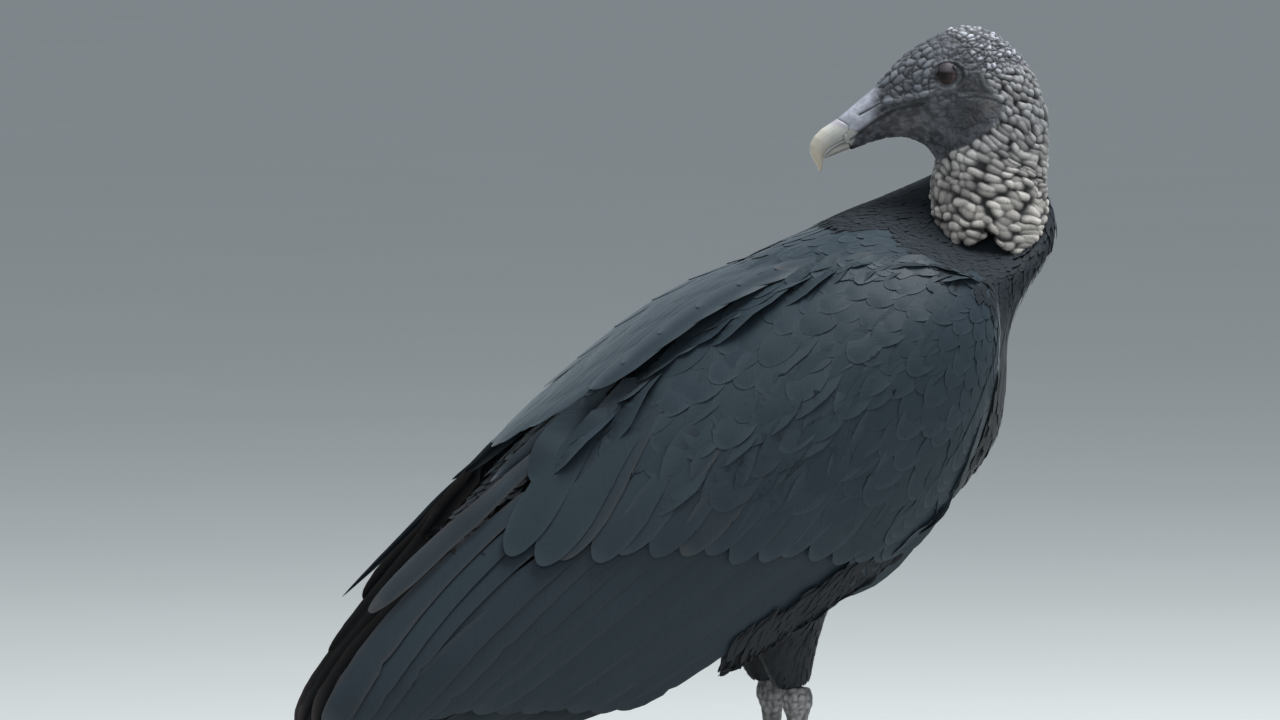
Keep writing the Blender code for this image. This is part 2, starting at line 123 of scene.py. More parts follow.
def pads(q, seed, soft, jitter=0.8):
    """For points in cell units: height from 0 in the creases to 1 on the pads, and a number for each pad."""
    base = np.floor(q).astype(np.int64)
    near, following, which = np.full(len(q), 9.0), np.full(len(q), 9.0), np.zeros(len(q))
    for step in itertools.product((-1, 0, 1), repeat=3):
        cell = base + np.array(step)
        spot = cell + 0.5 + (np.stack([hashed(cell, seed + k) for k in range(3)], -1) - 0.5) * jitter
        away = np.linalg.norm(spot - q, axis=1)
        closer = away < near
        following = np.where(closer, near, np.minimum(following, away))
        which = np.where(closer, hashed(cell, seed + 7), which)
        near = np.where(closer, away, near)
    inside = np.clip((following - near) / 2 / soft, 0, 1)
    return np.sqrt(1 - (1 - inside) ** 2), which


def beaded(q, seed, wrap):
    """Rows of rounded beads, wrap of them to a row: height and each bead's number.

    q is the place along a row, in beads, and the row.
    """
    reach, jitter = (0.66, 0.62), (0.7, 0.55)
    best, which = np.full(len(q), -9.0), np.zeros(len(q))
    for up, on in itertools.product((-1, 0, 1), repeat=2):
        row = np.floor(q[:, 1]) + up
        shifted = q[:, 0] + 0.5 * (row % 2)
        cell = np.floor(shifted) + on
        named = np.stack([cell % wrap, row, 0 * row], -1).astype(int)
        place = [hashed(named, seed + k) - 0.5 for k in range(3)]
        off = np.abs(shifted - cell - 0.5 - jitter[0] * place[0]) / reach[0]
        over = np.abs(q[:, 1] - row - 0.5 - jitter[1] * place[1]) / reach[1]
        height = 1 - (off**3 + over**3) * (0.8 + 0.4 * place[2])
        which = np.where(height > best, place[2] + 0.5, which)
        best = np.maximum(best, height)
    return np.clip(best, 0, 1), which


def value_noise(points, size, seed):
    q = points / size
    base = np.floor(q).astype(np.int64)
    t = q - base
    t = t * t * (3 - 2 * t)
    total = np.zeros(len(points))
    for step in itertools.product((0, 1), repeat=3):
        share = np.prod(np.where(np.array(step) == 1, t, 1 - t), axis=1)
        total += share * hashed(base + np.array(step), seed)
    return total * 2 - 1


# ---- meshes


def arrays_of(data):
    """Points, edges and faces, the faces as triangles."""
    data.calc_loop_triangles()

    def read(items, key, size, kind):
        values = np.empty(len(items) * size, kind)
        items.foreach_get(key, values)
        return values.reshape(-1, size)

    edges = read(data.edges, "vertices", 2, np.int32)
    triangles = read(data.loop_triangles, "vertices", 3, np.int32)
    return read(data.vertices, "co", 3, np.float32).astype(float), edges, triangles


def node_mesh(name):
    points, _, faces = arrays_of(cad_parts[name].data)
    return points / MM - SHIFT, faces


def primitive(maker, **settings):
    """Points and faces of one of bmesh's own shapes."""
    made = bmesh.new()
    maker(made, **settings)
    data = bpy.data.meshes.new("primitive")
    made.to_mesh(data)
    made.free()
    points, _, faces = arrays_of(data)
    bpy.data.meshes.remove(data)
    return points, faces


def joined(meshes):
    starts = np.cumsum([0] + [len(points) for points, _ in meshes])
    faces = [mesh[1] + start for mesh, start in zip(meshes, starts)]
    return np.concatenate([points for points, _ in meshes]), np.concatenate(faces)


def new_mesh(name, points, *face_arrays):
    """A mesh from an array of points and arrays of faces, each with one count of corners."""
    data = bpy.data.meshes.new(name)
    sizes = np.concatenate([np.full(len(f), f.shape[1]) for f in face_arrays])
    corners = np.concatenate([f.ravel() for f in face_arrays]).astype(np.int32)
    data.vertices.add(len(points))
    data.vertices.foreach_set("co", np.asarray(points, np.float32).ravel())
    data.loops.add(len(corners))
    data.loops.foreach_set("vertex_index", corners)
    data.polygons.add(len(sizes))
    data.polygons.foreach_set("loop_start", np.concatenate([[0], np.cumsum(sizes)[:-1]]).astype(np.int32))
    data.update(calc_edges=True)
    data.validate()
    return data


def placed(name, data):
    made = bpy.data.objects.new(name, data)
    bpy.context.scene.collection.objects.link(made)
    return made


def evaluated(made):
    bpy.context.view_layer.update()
    graph = bpy.context.evaluated_depsgraph_get()
    data = bpy.data.meshes.new_from_object(made.evaluated_get(graph))
    bpy.data.objects.remove(made)
    return data


def remeshed(meshes, voxel):
    """Points, edges and faces of one voxel skin round some meshes."""
    made = placed("remeshed", new_mesh("remeshed", *joined(meshes)))
    change = made.modifiers.new("voxels", "REMESH")
    change.mode = "VOXEL"
    change.voxel_size = voxel
    return arrays_of(evaluated(made))


def relaxed(points, edges, rounds, back=0.0):
    """Evens points out over their neighbours, and with back swells them again to keep their volume."""
    count = np.maximum(np.bincount(edges.ravel(), minlength=len(points)), 1)
    for _ in range(rounds):
        for factor in (0.5, -back) if back else (0.5,):
            mean = np.empty_like(points)
            for k in range(3):
                total = np.bincount(edges[:, 0], points[edges[:, 1], k], len(points))
                total += np.bincount(edges[:, 1], points[edges[:, 0], k], len(points))
                mean[:, k] = total / count
            points = points + (mean - points) * factor
    return points


def vertex_normals(points, faces):
    a, b, c = (points[faces[:, k]] for k in range(3))
    flat = np.cross(b - a, c - a)
    total = np.empty_like(points)
    for k in range(3):
        total[:, k] = sum(np.bincount(faces[:, j], flat[:, k], len(points)) for j in range(3))
    return unit(total)


def tree_of(points, faces):
    return BVHTree.FromPolygons(points.tolist(), faces.tolist())


def ball_mesh(centres, radii):
    """Many small balls as one mesh."""
    points, faces = primitive(bmesh.ops.create_icosphere, subdivisions=2, radius=1)
    every = (points[None] * np.asarray(radii)[:, None, None] + np.asarray(centres)[:, None]).reshape(-1, 3)
    tiled = (faces[None] + (np.arange(len(radii)) * len(points))[:, None, None]).reshape(-1, 3)
    return every, tiled


def to_head(points):
    """From the bird's frame to the head's: forward, left, up."""
    return np.stack([*turned(points[..., 0] - NECK_X, points[..., 1], -HEAD_TURN), points[..., 2]], -1)


def from_head(points):
    x, y = turned(points[..., 0], points[..., 1], HEAD_TURN)
    return np.stack([x + NECK_X, y, points[..., 2]], -1)


def finished(name, points, faces, material, replaced, attribute=None, colours=None):
    """A piece of the visual model, from points in the bird's frame and arrays of faces."""
    data = new_mesh(name, (points + SHIFT) * MM, *faces)
    made = placed(name, data)
    if colours is not None:
        layer = data.attributes.new(attribute, "FLOAT_COLOR", "POINT")
        layer.data.foreach_set("color", colours.astype(np.float32).ravel())
    data.shade_smooth()
    data.materials.append(material)
    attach(made, "root")
    if replaced:
        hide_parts(*replaced)
    return data


# ---- materials


class Shader:
    """A Principled material and short calls that add nodes to it."""

    def __init__(self, name, roughness, **settings):
        self.material = bpy.data.materials.new(name)
        self.material.use_nodes = True
        self.tree = self.material.node_tree
        self.main = self.tree.nodes["Principled BSDF"]
        for key, value in (("Roughness", roughness), *settings.items()):
            self.put(value, self.main.inputs[key.replace("_", " ")])

    def put(self, value, socket):
        """Gives a socket a number, a colour or another node's output."""
        if isinstance(value, tuple):
            socket.default_value = (*value, 1)
        elif isinstance(value, (int, float)):
            socket.default_value = value
        else:
            self.tree.links.new(value, socket)

    def add(self, kind, inputs=(), **values):
        node = self.tree.nodes.new(kind)
        for key, value in values.items():
            setattr(node, key, value)
        for key, value in dict(inputs).items():
            self.put(value, node.inputs[key])
        return node

    def attribute(self, name, output="Color"):
        return self.add("ShaderNodeAttribute", attribute_name=name).outputs[output]

    def noise(self, scale, detail=3.0, vector=None):
        if vector is None:
            vector = self.add("ShaderNodeTexCoord").outputs["Object"]
        inputs = {"Scale": scale, "Detail": detail, "Vector": vector}
        return self.add("ShaderNodeTexNoise", inputs).outputs["Fac"]

    def math(self, kind, *values):
        return self.add("ShaderNodeMath", dict(enumerate(values)), operation=kind).outputs["Value"]

    def plus(self, a, b):
        return self.math("ADD", a, b)

    def times(self, a, b):
        return self.math("MULTIPLY", a, b)

    def mix(self, share, a, b):
        node = self.add("ShaderNodeMix", data_type="RGBA")
        for socket, value in zip([s for s in node.inputs if s.enabled], (share, a, b)):
            self.put(value, socket)
        return next(s for s in node.outputs if s.enabled)

    def finish(self, colour, height=None, distance=0.0, strength=1.0):
        """Sets the colour, and with a height the bump, and gives the material."""
        self.put(colour, self.main.inputs["Base Color"])
        if height is not None:
            bump = self.add("ShaderNodeBump", {"Strength": strength, "Distance": distance, "Height": height})
            self.put(bump.outputs["Normal"], self.main.inputs["Normal"])
        return self.material


def plumage_material(name, dark, light, roughness, sheen):
    """Vanes: paler towards worn edges and tips, streaked along the barbs, with painted shade darkening the
    middle of their undersides.
    """
    s = Shader(name, roughness, Specular_IOR_Level=0.16, Sheen_Weight=sheen, Sheen_Roughness=0.3,
               Sheen_Tint=(0.70, 0.80, 0.85))
    parts = s.add("ShaderNodeSeparateColor", {"Color": s.attribute("shade")})
    tint, edge, wear = (parts.outputs[key] for key in ("Red", "Green", "Blue"))
    where = s.add("ShaderNodeSeparateXYZ", {"Vector": s.add("ShaderNodeUVMap", uv_map="Vane").outputs["UV"]})
    across, along = where.outputs["X"], where.outputs["Y"]
    slant = s.plus(along, s.times(s.math("ABSOLUTE", across), -1.1))
    barbs = s.add("ShaderNodeCombineXYZ", {"X": s.times(slant, 1.6), "Y": s.times(across, 0.12),
                                           "Z": s.times(tint, 40.0)})
    streak = s.noise(1.0, 2.0, barbs.outputs["Vector"])
    share = s.plus(s.times(tint, 0.30), s.times(edge, s.times(tint, 0.75)))
    share = s.plus(share, s.times(s.math("SUBTRACT", streak, 0.38), 0.4))
    base = s.mix(s.math("MINIMUM", s.math("MAXIMUM", share, 0.0), 1.0), dark, light)
    base = s.mix(wear, base, (0.085, 0.068, 0.062))
    # painted shade: the undersides of vanes are darkened towards this near black
    painted_underside_shade = (0.004, 0.005, 0.006)
    return s.finish(s.mix(s.attribute("shade", "Alpha"), painted_underside_shade, base), streak, 0.0003, 0.3)


def skin_material():
    s = Shader("bare_skin", 0.62, Specular_IOR_Level=0.35)
    fine, grain = s.noise(900, 4.0), s.noise(2600)
    toned = s.mix(s.times(fine, 0.55), s.attribute("skin"), (0.018, 0.018, 0.021))
    toned = s.mix(s.times(grain, 0.11), toned, (0.34, 0.34, 0.35))
    return s.finish(toned, s.plus(fine, s.times(grain, 0.6)), 0.00035, 0.55)


def horn_material():
    s = Shader("bill_horn", 0.34, Specular_IOR_Level=0.5, Subsurface_Weight=0.15, Subsurface_Scale=0.002)
    place = s.add("ShaderNodeTexCoord").outputs["Object"]
    drawn_out = s.add("ShaderNodeMapping", {"Vector": place})
    drawn_out.inputs["Scale"].default_value = (1.0, 1.0, 0.35)
    streaks = s.noise(260, 4.0, drawn_out.outputs["Vector"])
    colour = s.mix(s.times(streaks, 0.35), s.attribute("skin"), (0.20, 0.18, 0.15))
    return s.finish(colour, streaks, 0.0002, 0.35)


def claw_material():
    s = Shader("claw_horn", 0.36)
    streaks = s.noise(420)
    return s.finish(s.mix(streaks, (0.018, 0.017, 0.016), (0.075, 0.068, 0.060)), streaks, 0.0002, 0.3)


def eye_material():
    s = Shader("eye", 0.5, Specular_IOR_Level=0.2)
    return s.finish(s.mix(s.times(s.noise(1500), 0.4), s.attribute("skin"), (0.02, 0.012, 0.011)))


# ---- guides over the solids


def swollen(points, faces, by):
    return points + vertex_normals(points, faces) * by


def smooth_guide():
    """A smooth skin round the plumed nodes, its narrow grooves bridged."""
    voxel, close = 2.5, 5.0
    points, edges, faces = remeshed([node_mesh(name) for name in PLUMED], voxel)
    points = relaxed(points, edges, 2)
    points, edges, faces = remeshed([(swollen(points, faces, close), faces)], voxel)
    points = swollen(relaxed(points, edges, 3), faces, -close)
    return relaxed(points, edges, 8, 0.3), faces


def in_canonical(mesh, side):
    """Mirrors the right side's mesh onto the left, where both sides are worked out."""
    points, faces = mesh
    return (points, faces) if side > 0 else (points * (1, -1, 1), faces[:, ::-1])


def seen_from_side(tree, x, z):
    """How far out a surface is at a place in side view, or None beside it."""
    hit = tree.ray_cast(Vector((x, 220, z)), Vector((0, -1, 0)))[0]
    return hit.y if hit is not None else None


class Relief:
    """Distance outward of a nearly flat upright sheet, over x and z, carried on smoothly past its edges."""

    STEP = 4.0

    def __init__(self, mesh, x_range, z_range):
        tree = tree_of(*mesh)
        self.x0, self.z0 = x_range[0], z_range[0]
        rows = [[seen_from_side(tree, x, z) for z in np.arange(*z_range, self.STEP)]
                for x in np.arange(*x_range, self.STEP)]
        filled = np.array(rows, float)
        known = (~np.isnan(filled)).astype(float)
        filled = np.nan_to_num(filled)
        while not known.all():
            total, count = self.around(filled * known), self.around(known)
            fresh = (known == 0) & (count > 0)
            filled = np.where(fresh, total / np.maximum(count, 1e-9), filled)
            known = np.where(fresh, 1.0, known)
        for _ in range(3):
            filled = (filled + self.around(filled) / self.around(np.ones_like(filled))) / 2
        self.grid = filled

    @staticmethod
    def around(a):
        """The sum over each cell's eight neighbours."""
        wide = np.pad(a, 1)
        return sum(wide[1 + i : 1 + i + a.shape[0], 1 + j : 1 + j + a.shape[1]]
                   for i, j in itertools.product((-1, 0, 1), repeat=2) if i or j)

    def height(self, x, z):
        g = self.grid
        u = np.clip((x - self.x0) / self.STEP, 0, g.shape[0] - 1.001)
        v = np.clip((z - self.z0) / self.STEP, 0, g.shape[1] - 1.001)
        i, j = u.astype(int), v.astype(int)
        u, v = u - i, v - j
        low = g[i, j] * (1 - u) + g[i + 1, j] * u
        high = g[i, j + 1] * (1 - u) + g[i + 1, j + 1] * u
        return low * (1 - v) + high * v

    def surface(self, x, z):
        """Points on the sheet and its outward normals."""
        y, reach = self.height(x, z), self.STEP
        dx = (self.height(x + reach, z) - self.height(x - reach, z)) / (2 * reach)
        dz = (self.height(x, z + reach) - self.height(x, z - reach)) / (2 * reach)
        return np.stack([x, y, z], -1), unit(np.stack([-dx, np.ones_like(y), -dz], -1))


def stations_of(count):
    """Shares of a vane's length from root to tip, closest together at the tip."""
    return np.sin(np.linspace(0, math.pi / 2, count))


def march(tree, roots, headings, lengths, count):
    """Paths over a surface from roots, each setting off along its heading: points and normals at stations."""
    paths = np.zeros((len(roots), count, 3))
    normals = np.zeros_like(paths)
    for i, (root, heading, length) in enumerate(zip(roots, headings, lengths)):
        at, normal, _, _ = tree.find_nearest(Vector(root))
        way = Vector(heading)
        for k in range(count):
            paths[i, k], normals[i, k] = at, normal
            way = way - normal * way.dot(normal)
            if way.length < 1e-6:
                way = Vector((-1, 0, -1))
            way.normalize()
            following, normal, _, _ = tree.find_nearest(at + way * (length / (count - 1)))
            moved = following - at
            if moved.length > 1e-6:
                way = moved.normalized()
            at = following
    for _ in range(2):
        paths, normals = softened(paths), unit(softened(normals))
    at = stations_of(count) * (count - 1)
    i = np.minimum(at.astype(int), count - 2)
    f = (at - i)[None, :, None]
    return [rows[:, i] * (1 - f) + rows[:, i + 1] * f for rows in (paths, normals)]


# ---- vanes


def outline(share, widest, root, tip):
    """Half width along a vane, 1 at its widest: a narrow root, full sides and a rounded tip."""
    rise = root + (1 - root) * ramp(share, 0, widest)
    past = np.clip((share - widest) / (1 - widest), 0, 1)
    return rise * (1 - past**tip) ** (1 / tip)


class Coat:
    """One piece of plumage: closed vanes gathered into one mesh."""

    FLOOR_GAP = 1.5  # the least height of a vane over the floor
    PATCH = 0.003  # side of a vane's patch on the OFBake unwrap

    def __init__(self, name, rng, mirror=False):
        self.name, self.rng, self.mirror = name, rng, mirror
        self.points, self.quads, self.tris = [], [], []
        self.vane, self.patch, self.shade = [], [], []
        self.start = 0

    def add(self, spine, normal, widths, patch, tint, wear=0.0, half=4, camber=0.06, thick=0.35, ridge=0.03,
            rough=0.012, roll=0.0, curl=0.0):
        """Adds vanes. spine and normal are (vanes, stations, 3), and widths the left and right half widths at
        each station, or one array for both.

        The ends of the spine are the vane's poles. roll turns a vane about its spine, lifting its right edge.
        """
        vanes, stations, _ = spine.shape
        inner, rings = slice(1, stations - 1), stations - 2

        def each(value):
            return np.broadcast_to(np.asarray(value, float), (vanes,))[:, None, None]

        left, right = widths if isinstance(widths, tuple) else (widths, widths)
        along = unit(np.gradient(spine, axis=1))
        side = unit(np.cross(along, normal))
        side, up = turned(side, unit(np.cross(side, along)), -each(roll))
        a = np.linspace(-1, 1, 2 * half + 1)
        if half > 2:
            a = np.sin(a * math.pi / 2)
        width = np.where(a < 0, left[:, inner, None], right[:, inner, None])
        mean = ((left + right) / 2)[:, inner, None]
        steps = np.linalg.norm(np.diff(spine, axis=1), axis=2)
        border = np.abs(a) > 0.99
        ragged = 1 + rough * border * self.rng.standard_normal((vanes, rings, len(a)))
        slide = border * steps.mean(1)[:, None, None] * min(1, rough * 8)
        slide = slide * self.rng.uniform(0.0, 0.5, ragged.shape)
        lift = ridge * bell(a, 0, 0.12) - each(camber) * mean * a**2 - curl * mean * np.maximum(a, 0) ** 3
        top = (spine[:, inner, None] + side[:, inner, None] * (a * width * ragged)[..., None]
               + up[:, inner, None] * lift[..., None] + along[:, inner, None] * slide[..., None])
        under = spine[:, inner] - up[:, inner] * (thick + each(camber) * mean * 0.5)
        size = len(a) + 1
        body = np.concatenate([top, under[:, :, None]], 2).reshape(vanes, rings * size, 3)
        points = np.concatenate([spine[:, :1], body, spine[:, -1:]], 1)
        self.add_faces(vanes, points.shape[1], rings, size)
        self.points.append((points * (1, -1, 1) if self.mirror else points).reshape(-1, 3))
        reach = np.concatenate([np.zeros((vanes, 1)), np.cumsum(steps, 1)], 1)
        self.add_maps(a, width, reach, size, patch, np.asarray(tint)[:, None], each(wear)[:, 0])

    def lay(self, tree, spots, flow, size, back, lift, shape, wide, patch, tint, **build):
        """Adds vanes along a surface, each set back from its spot by a share of its length, and lifted."""
        count = lift.shape[-1]
        spine, normal = march(tree, spots - flow * size[:, None] * back, flow, size, count)
        widths = outline(stations_of(count), *shape) * wide[:, None]
        self.add(spine + normal * lift[..., None], normal, widths, patch, tint, **build)

    def add_faces(self, vanes, count, rings, size):
        k, j = np.meshgrid(np.arange(rings - 1), np.arange(size), indexing="ij")
        following = (j + 1) % size
        quads = np.stack([1 + k * size + j, 1 + k * size + following,
                          1 + (k + 1) * size + following, 1 + (k + 1) * size + j], -1).reshape(-1, 4)
        j = np.arange(size)
        last = 1 + (rings - 1) * size
        tris = np.concatenate([np.stack([0 * j, 1 + (j + 1) % size, 1 + j], -1),
                               np.stack([0 * j + count - 1, last + j, last + (j + 1) % size], -1)])
        offsets = (np.arange(vanes) * count + self.start)[:, None, None]
        for faces, gathered in ((quads, self.quads), (tris, self.tris)):
            faces = faces if self.mirror else faces[:, ::-1]
            gathered.append((faces[None] + offsets).reshape(-1, faces.shape[1]))
        self.start += vanes * count

    def add_maps(self, a, width, reach, size, patch, tint, wear):
        """Two unwraps, in millimetres on the vane and as its patch of the skin, and what the shader mixes."""
        vanes, rings = width.shape[:2]
        vane = np.zeros((vanes, rings * size + 2, 2))
        vane[:, 1:-1, 0] = np.pad(width * a, ((0, 0), (0, 0), (0, 1))).reshape(vanes, -1)
        vane[:, 1:-1, 1] = np.repeat(reach[:, 1:-1], size, axis=1)
        vane[:, -1, 1] = reach[:, -1]
        across, share = np.zeros(vane.shape[:2]), vane[..., 1] / reach[:, -1:]
        across[:, 1:-1] = np.tile(np.append(a, 0.0), rings)
        self.vane.append(vane.reshape(-1, 2))
        spread = np.stack([across * 0.5, share - 0.5], -1) * self.PATCH
        self.patch.append((patch[:, None] + spread).reshape(-1, 2))
        edge = np.maximum(np.abs(across) ** 6, ramp(share, 0.90, 1.0))
        # painted shade: 0 marks the middle of each vane's underside, which the shader darkens towards black
        free_of_painted_shade = np.ones_like(edge)
        free_of_painted_shade[:, size:-1:size] = 0  # the middle of each vane's underside
        shade = np.broadcast_arrays(tint, edge * ramp(share, 0.35, 0.8), wear * (0.15 + 0.85 * edge), free_of_painted_shade)
        self.shade.append(np.stack(shade, -1).reshape(-1, 4))

    def finish(self, material, *replaced):
        rows = (self.points, self.shade, self.quads, self.tris)
        points, shade, *faces = (np.concatenate(row) for row in rows)
        points[:, 2] = np.maximum(points[:, 2], self.FLOOR_GAP)
        data = finished(self.name, points, faces, material, replaced, "shade", shade)
        corners = np.empty(len(data.loops), np.int32)
        data.loops.foreach_get("vertex_index", corners)
        for name, values in (("OFBake", self.patch), ("Vane", self.vane)):
            layer = data.uv_layers.new(name=name)
            layer.data.foreach_set("uv", np.concatenate(values)[corners].astype(np.float32).ravel())
        data.set_sharp_from_angle(angle=math.radians(55))


def on_unwrap(across, along, border=0.03):
    """A place on the unwrap of the skin's shape, kept clear of its border."""
    return border + (1 - 2 * border) * np.clip(np.stack([across, along], -1), 0, 1)


def body_patch(roots):
    """Place of each root on an unwrap of the trunk: round it, and along it from neck to tail."""
    neck = np.array([120.0, 0, 330.0])
    way = np.array([-200.0, 0, 110.0]) - neck
    along = ((roots - neck) @ way) / (way @ way)
    off = roots - neck - along[:, None] * way
    turn = np.arctan2(off[:, 1], off @ np.cross(unit(way), [0, 1, 0])) / (2 * math.pi) + 0.5
    return on_unwrap(turn, along * 0.9 + 0.05, 0.02)


# ---- wings


# Folded wing in side view, shoulder to tip: upper edge (x, z) and lower edge (x, z).
WING = np.array([
    (87, 289, 90, 272), (75, 297, 87, 247), (52, 303, 79, 222), (23, 305, 67, 194),
    (-10, 298, 46, 166), (-48, 276, 14, 140), (-87, 249, -24, 115), (-126, 217, -62, 94),
    (-164, 185, -101, 80), (-198, 153, -146, 76), (-226, 125, -190, 74), (-244, 101, -226, 70),
    (-249, 83, -245, 70),
], float)


def wing_xz(t, v):
    """Side-view point a share t along the folded wing and v from its upper to its lower edge."""
    last = len(WING) - 1
    at = np.clip(t, 0, 1) * last
    i = np.minimum(at.astype(int), last - 1)
    f = (at - i)[..., None]
    a, b, c, d = (WING[np.clip(i + k, 0, last)] for k in (-1, 0, 1, 2))
    row = 0.5 * (2 * b + (c - a) * f + (2 * a - 5 * b + 4 * c - d) * f**2 + (3 * b - a - 3 * c + d) * f**3)
    point = row[..., :2] + (row[..., 2:] - row[..., :2]) * np.asarray(v)[..., None]
    return point[..., 0], point[..., 1]


def wing_places(points):
    """Shares along and across the folded wing of points in side view, and how far off it they lie."""
    t, v = np.meshgrid(np.linspace(0, 1, 141), np.linspace(-0.35, 1.15, 91), indexing="ij")
    t, v = t.ravel(), v.ravel()
    x, z = wing_xz(t, v)
    tree = KDTree(len(x))
    for k, (a, b) in enumerate(zip(x.tolist(), z.tolist())):
        tree.insert((a, 0, b), k)
    tree.balance()
    found = [tree.find((p[0], 0, p[2])) for p in points.tolist()]
    nearest = [f[1] for f in found]
    return t[nearest], v[nearest], np.array([f[2] for f in found])


def wing_flow(t, v, turn):
    """Unit headings in side view: along the wing, turned downwards by turn degrees."""
    x1, z1 = wing_xz(np.minimum(t + 0.03, 1), v)
    x0, z0 = wing_xz(np.maximum(t - 0.03, 0), v)
    angle = np.arctan2(z0 - z1, x0 - x1) + np.radians(turn)
    return np.stack([-np.cos(angle), np.zeros_like(angle), -np.sin(angle)], -1)


def blades(relief, tips, angles, lengths, lift0, lift1, count, curve=0.0):
    """Spines on the wing's side that end at tips (x, z), each running back at an angle below the horizontal.

    Those that would show above the cape's edge are drawn in under it.
    """
    s = stations_of(count)[None]
    back = (1 - s) * lengths[:, None]
    angle = np.radians(angles)[:, None] + curve * (1 - s) * (1 - 0.32 * (1 - s))
    x, z = tips[:, 0, None] + back * np.cos(angle), tips[:, 1, None] + back * np.sin(angle)
    points, normals = relief.surface(x, z)
    spine = points + normals * (lift0[:, None] + (lift1 - lift0)[:, None] * s)[..., None]
    eave, wide = (np.interp(-x, -CAPE[:, 0], CAPE[:, k]) for k in (1, 2))
    tucked = ramp(z - eave, -14, -2) * ramp(x, -175, -150)
    spine[..., 1] -= tucked * np.maximum(spine[..., 1] - wide + 5, 0)
    spine[..., 2] -= 3 * tucked
    return spine, normals


def primaries(coat, side):
    """Primaries bunched below the secondaries."""
    mesh = in_canonical(node_mesh("primaries_right" if coat.mirror else "primaries_left"), side)
    relief = Relief(mesh, (-270, -60), (10, 150))
    count = 6
    i = np.arange(count)[:, None] / (count - 1)
    s = stations_of(30)[None]
    root_x, root_z, tip_x, tip_z = -70 - 8 * i, 118 - 22 * i, -217 - 26 * i, 53 - 20 * i
    x = root_x + (tip_x - root_x) * s
    z = root_z + (tip_z - root_z) * s + 10 * np.sin(math.pi * s) * (1 - 0.5 * i)
    points, normals = relief.surface(x, z)
    spine = points - normals * (0.4 + 2.4 * i)[..., None]
    shape = outline(s, 0.80, 0.4, 2.0) + 0 * i
    i = i[:, 0]
    coat.add(spine, normals, (8.5 * shape, 6.0 * shape), on_unwrap(0.6 + 0.05 * i, 0.8 + 0.1 * i),
             coat.rng.uniform(0.1, 0.6, count), wear=0.35, ridge=0.3, roll=0.05)


def flight_feathers(coat, relief):
    """Tertials and secondaries, the innermost on top."""
    rng, near, count = coat.rng, coat.mirror, 14
    i = np.arange(count)[::-1].astype(float)
    tip_x = np.interp(i, (0, 1, 2, 3, 13), (-247 if near else -242, -241, -233, -222, -107))
    tips = np.stack([tip_x, 75 + 11 * ramp(i, 2, 6) + rng.uniform(-1, 1, count)], -1)
    knots = (0, 1, 2, 3, 4, 5, 6, 13)
    angles = np.interp(i, knots, (65, 61, 62, 57, 52, 47, 42, 33.5))
    width = np.interp(i, knots, (8.8, 8.5, 8.8, 11, 11.5, 11, 9, 9.2))
    curves = np.interp(i, knots, (-0.42, -0.34, -0.42, -0.34, -0.22, -0.135, -0.05, -0.05))
    tip_lift = 1.8 - 2.4 * ramp(i, -1, 5) - 0.06 * i
    s = stations_of(34)
    left = outline(s, 0.82, 0.5, 2.2) * width[:, None]
    right = left.copy()
    for row in range(count):
        for _ in range(1 + row % 2):
            notch, deep = rng.uniform(0.55, 0.9), rng.uniform(0.08, 0.25)
            right[row] *= 1 - deep * bell(s, notch, 0.012)
    worn = np.where(i < 1, 0.35, 0.1) if near else np.where(i < 4, 0.8, 0.1)
    spine, normal = blades(relief, tips, angles, 160 - 1.5 * i, tip_lift - 2.6, tip_lift, 34, curves[:, None])
    coat.add(spine, normal, (left, right), on_unwrap(0.5 + 0.02 * i, 0.2 + 0.05 * i),
             rng.uniform(0.12, 0.42, count), wear=worn, half=5, camber=np.where(i < 4, 0.05, 0.02),
             thick=0.25, ridge=0.22, roll=np.where(i < 4, 0.08, 0.03))


def strap_feathers(coat, relief):
    """The long inner feathers that lie free over the tertials."""
    # tip x, tip z, angle, length, root lift, tip lift, half width, fullness, wear
    near = [(-223.5, 134.5, 42, 134, -0.5, 5.0, 5.2, 0.72, 0.5),
            (-163, 198, 39, 85, 0.0, 4.0, 4.5, 0.5, 0.2)]
    far = [(-221.0, 139.0, 41, 134, -0.5, 4.0, 3.2, 0.4, 0.1),
           (-163, 196, 39, 85, 0.0, 4.0, 4.5, 0.5, 0.2),
           (-210, 137.5, 44.5, 105, -1.5, 1.5, 11.0, 0.82, 0.8),
           (-227.5, 112, 49, 120, -1.5, 0.5, 9.5, 0.82, 0.8)]
    rows = np.array(near if coat.mirror else far)
    x, z, angle, length, root_lift, tip_lift, width, fullness, wear = rows.T
    spine, normal = blades(relief, np.stack([x, z], -1), angle, length, root_lift, tip_lift, 30)
    shape = np.stack([outline(stations_of(30), full, 0.6, 1.4 + 0.8 * (full > 0.6)) for full in fullness])
    patch = on_unwrap(0.5 - 0.03 * np.arange(len(rows)), 0.05 + 0 * x)
    coat.add(spine, normal, shape * width[:, None], patch, np.linspace(0.9, 0.5, len(rows)), wear=wear,
             camber=0.10, thick=0.25, ridge=0.25, rough=0.015, roll=0.08)


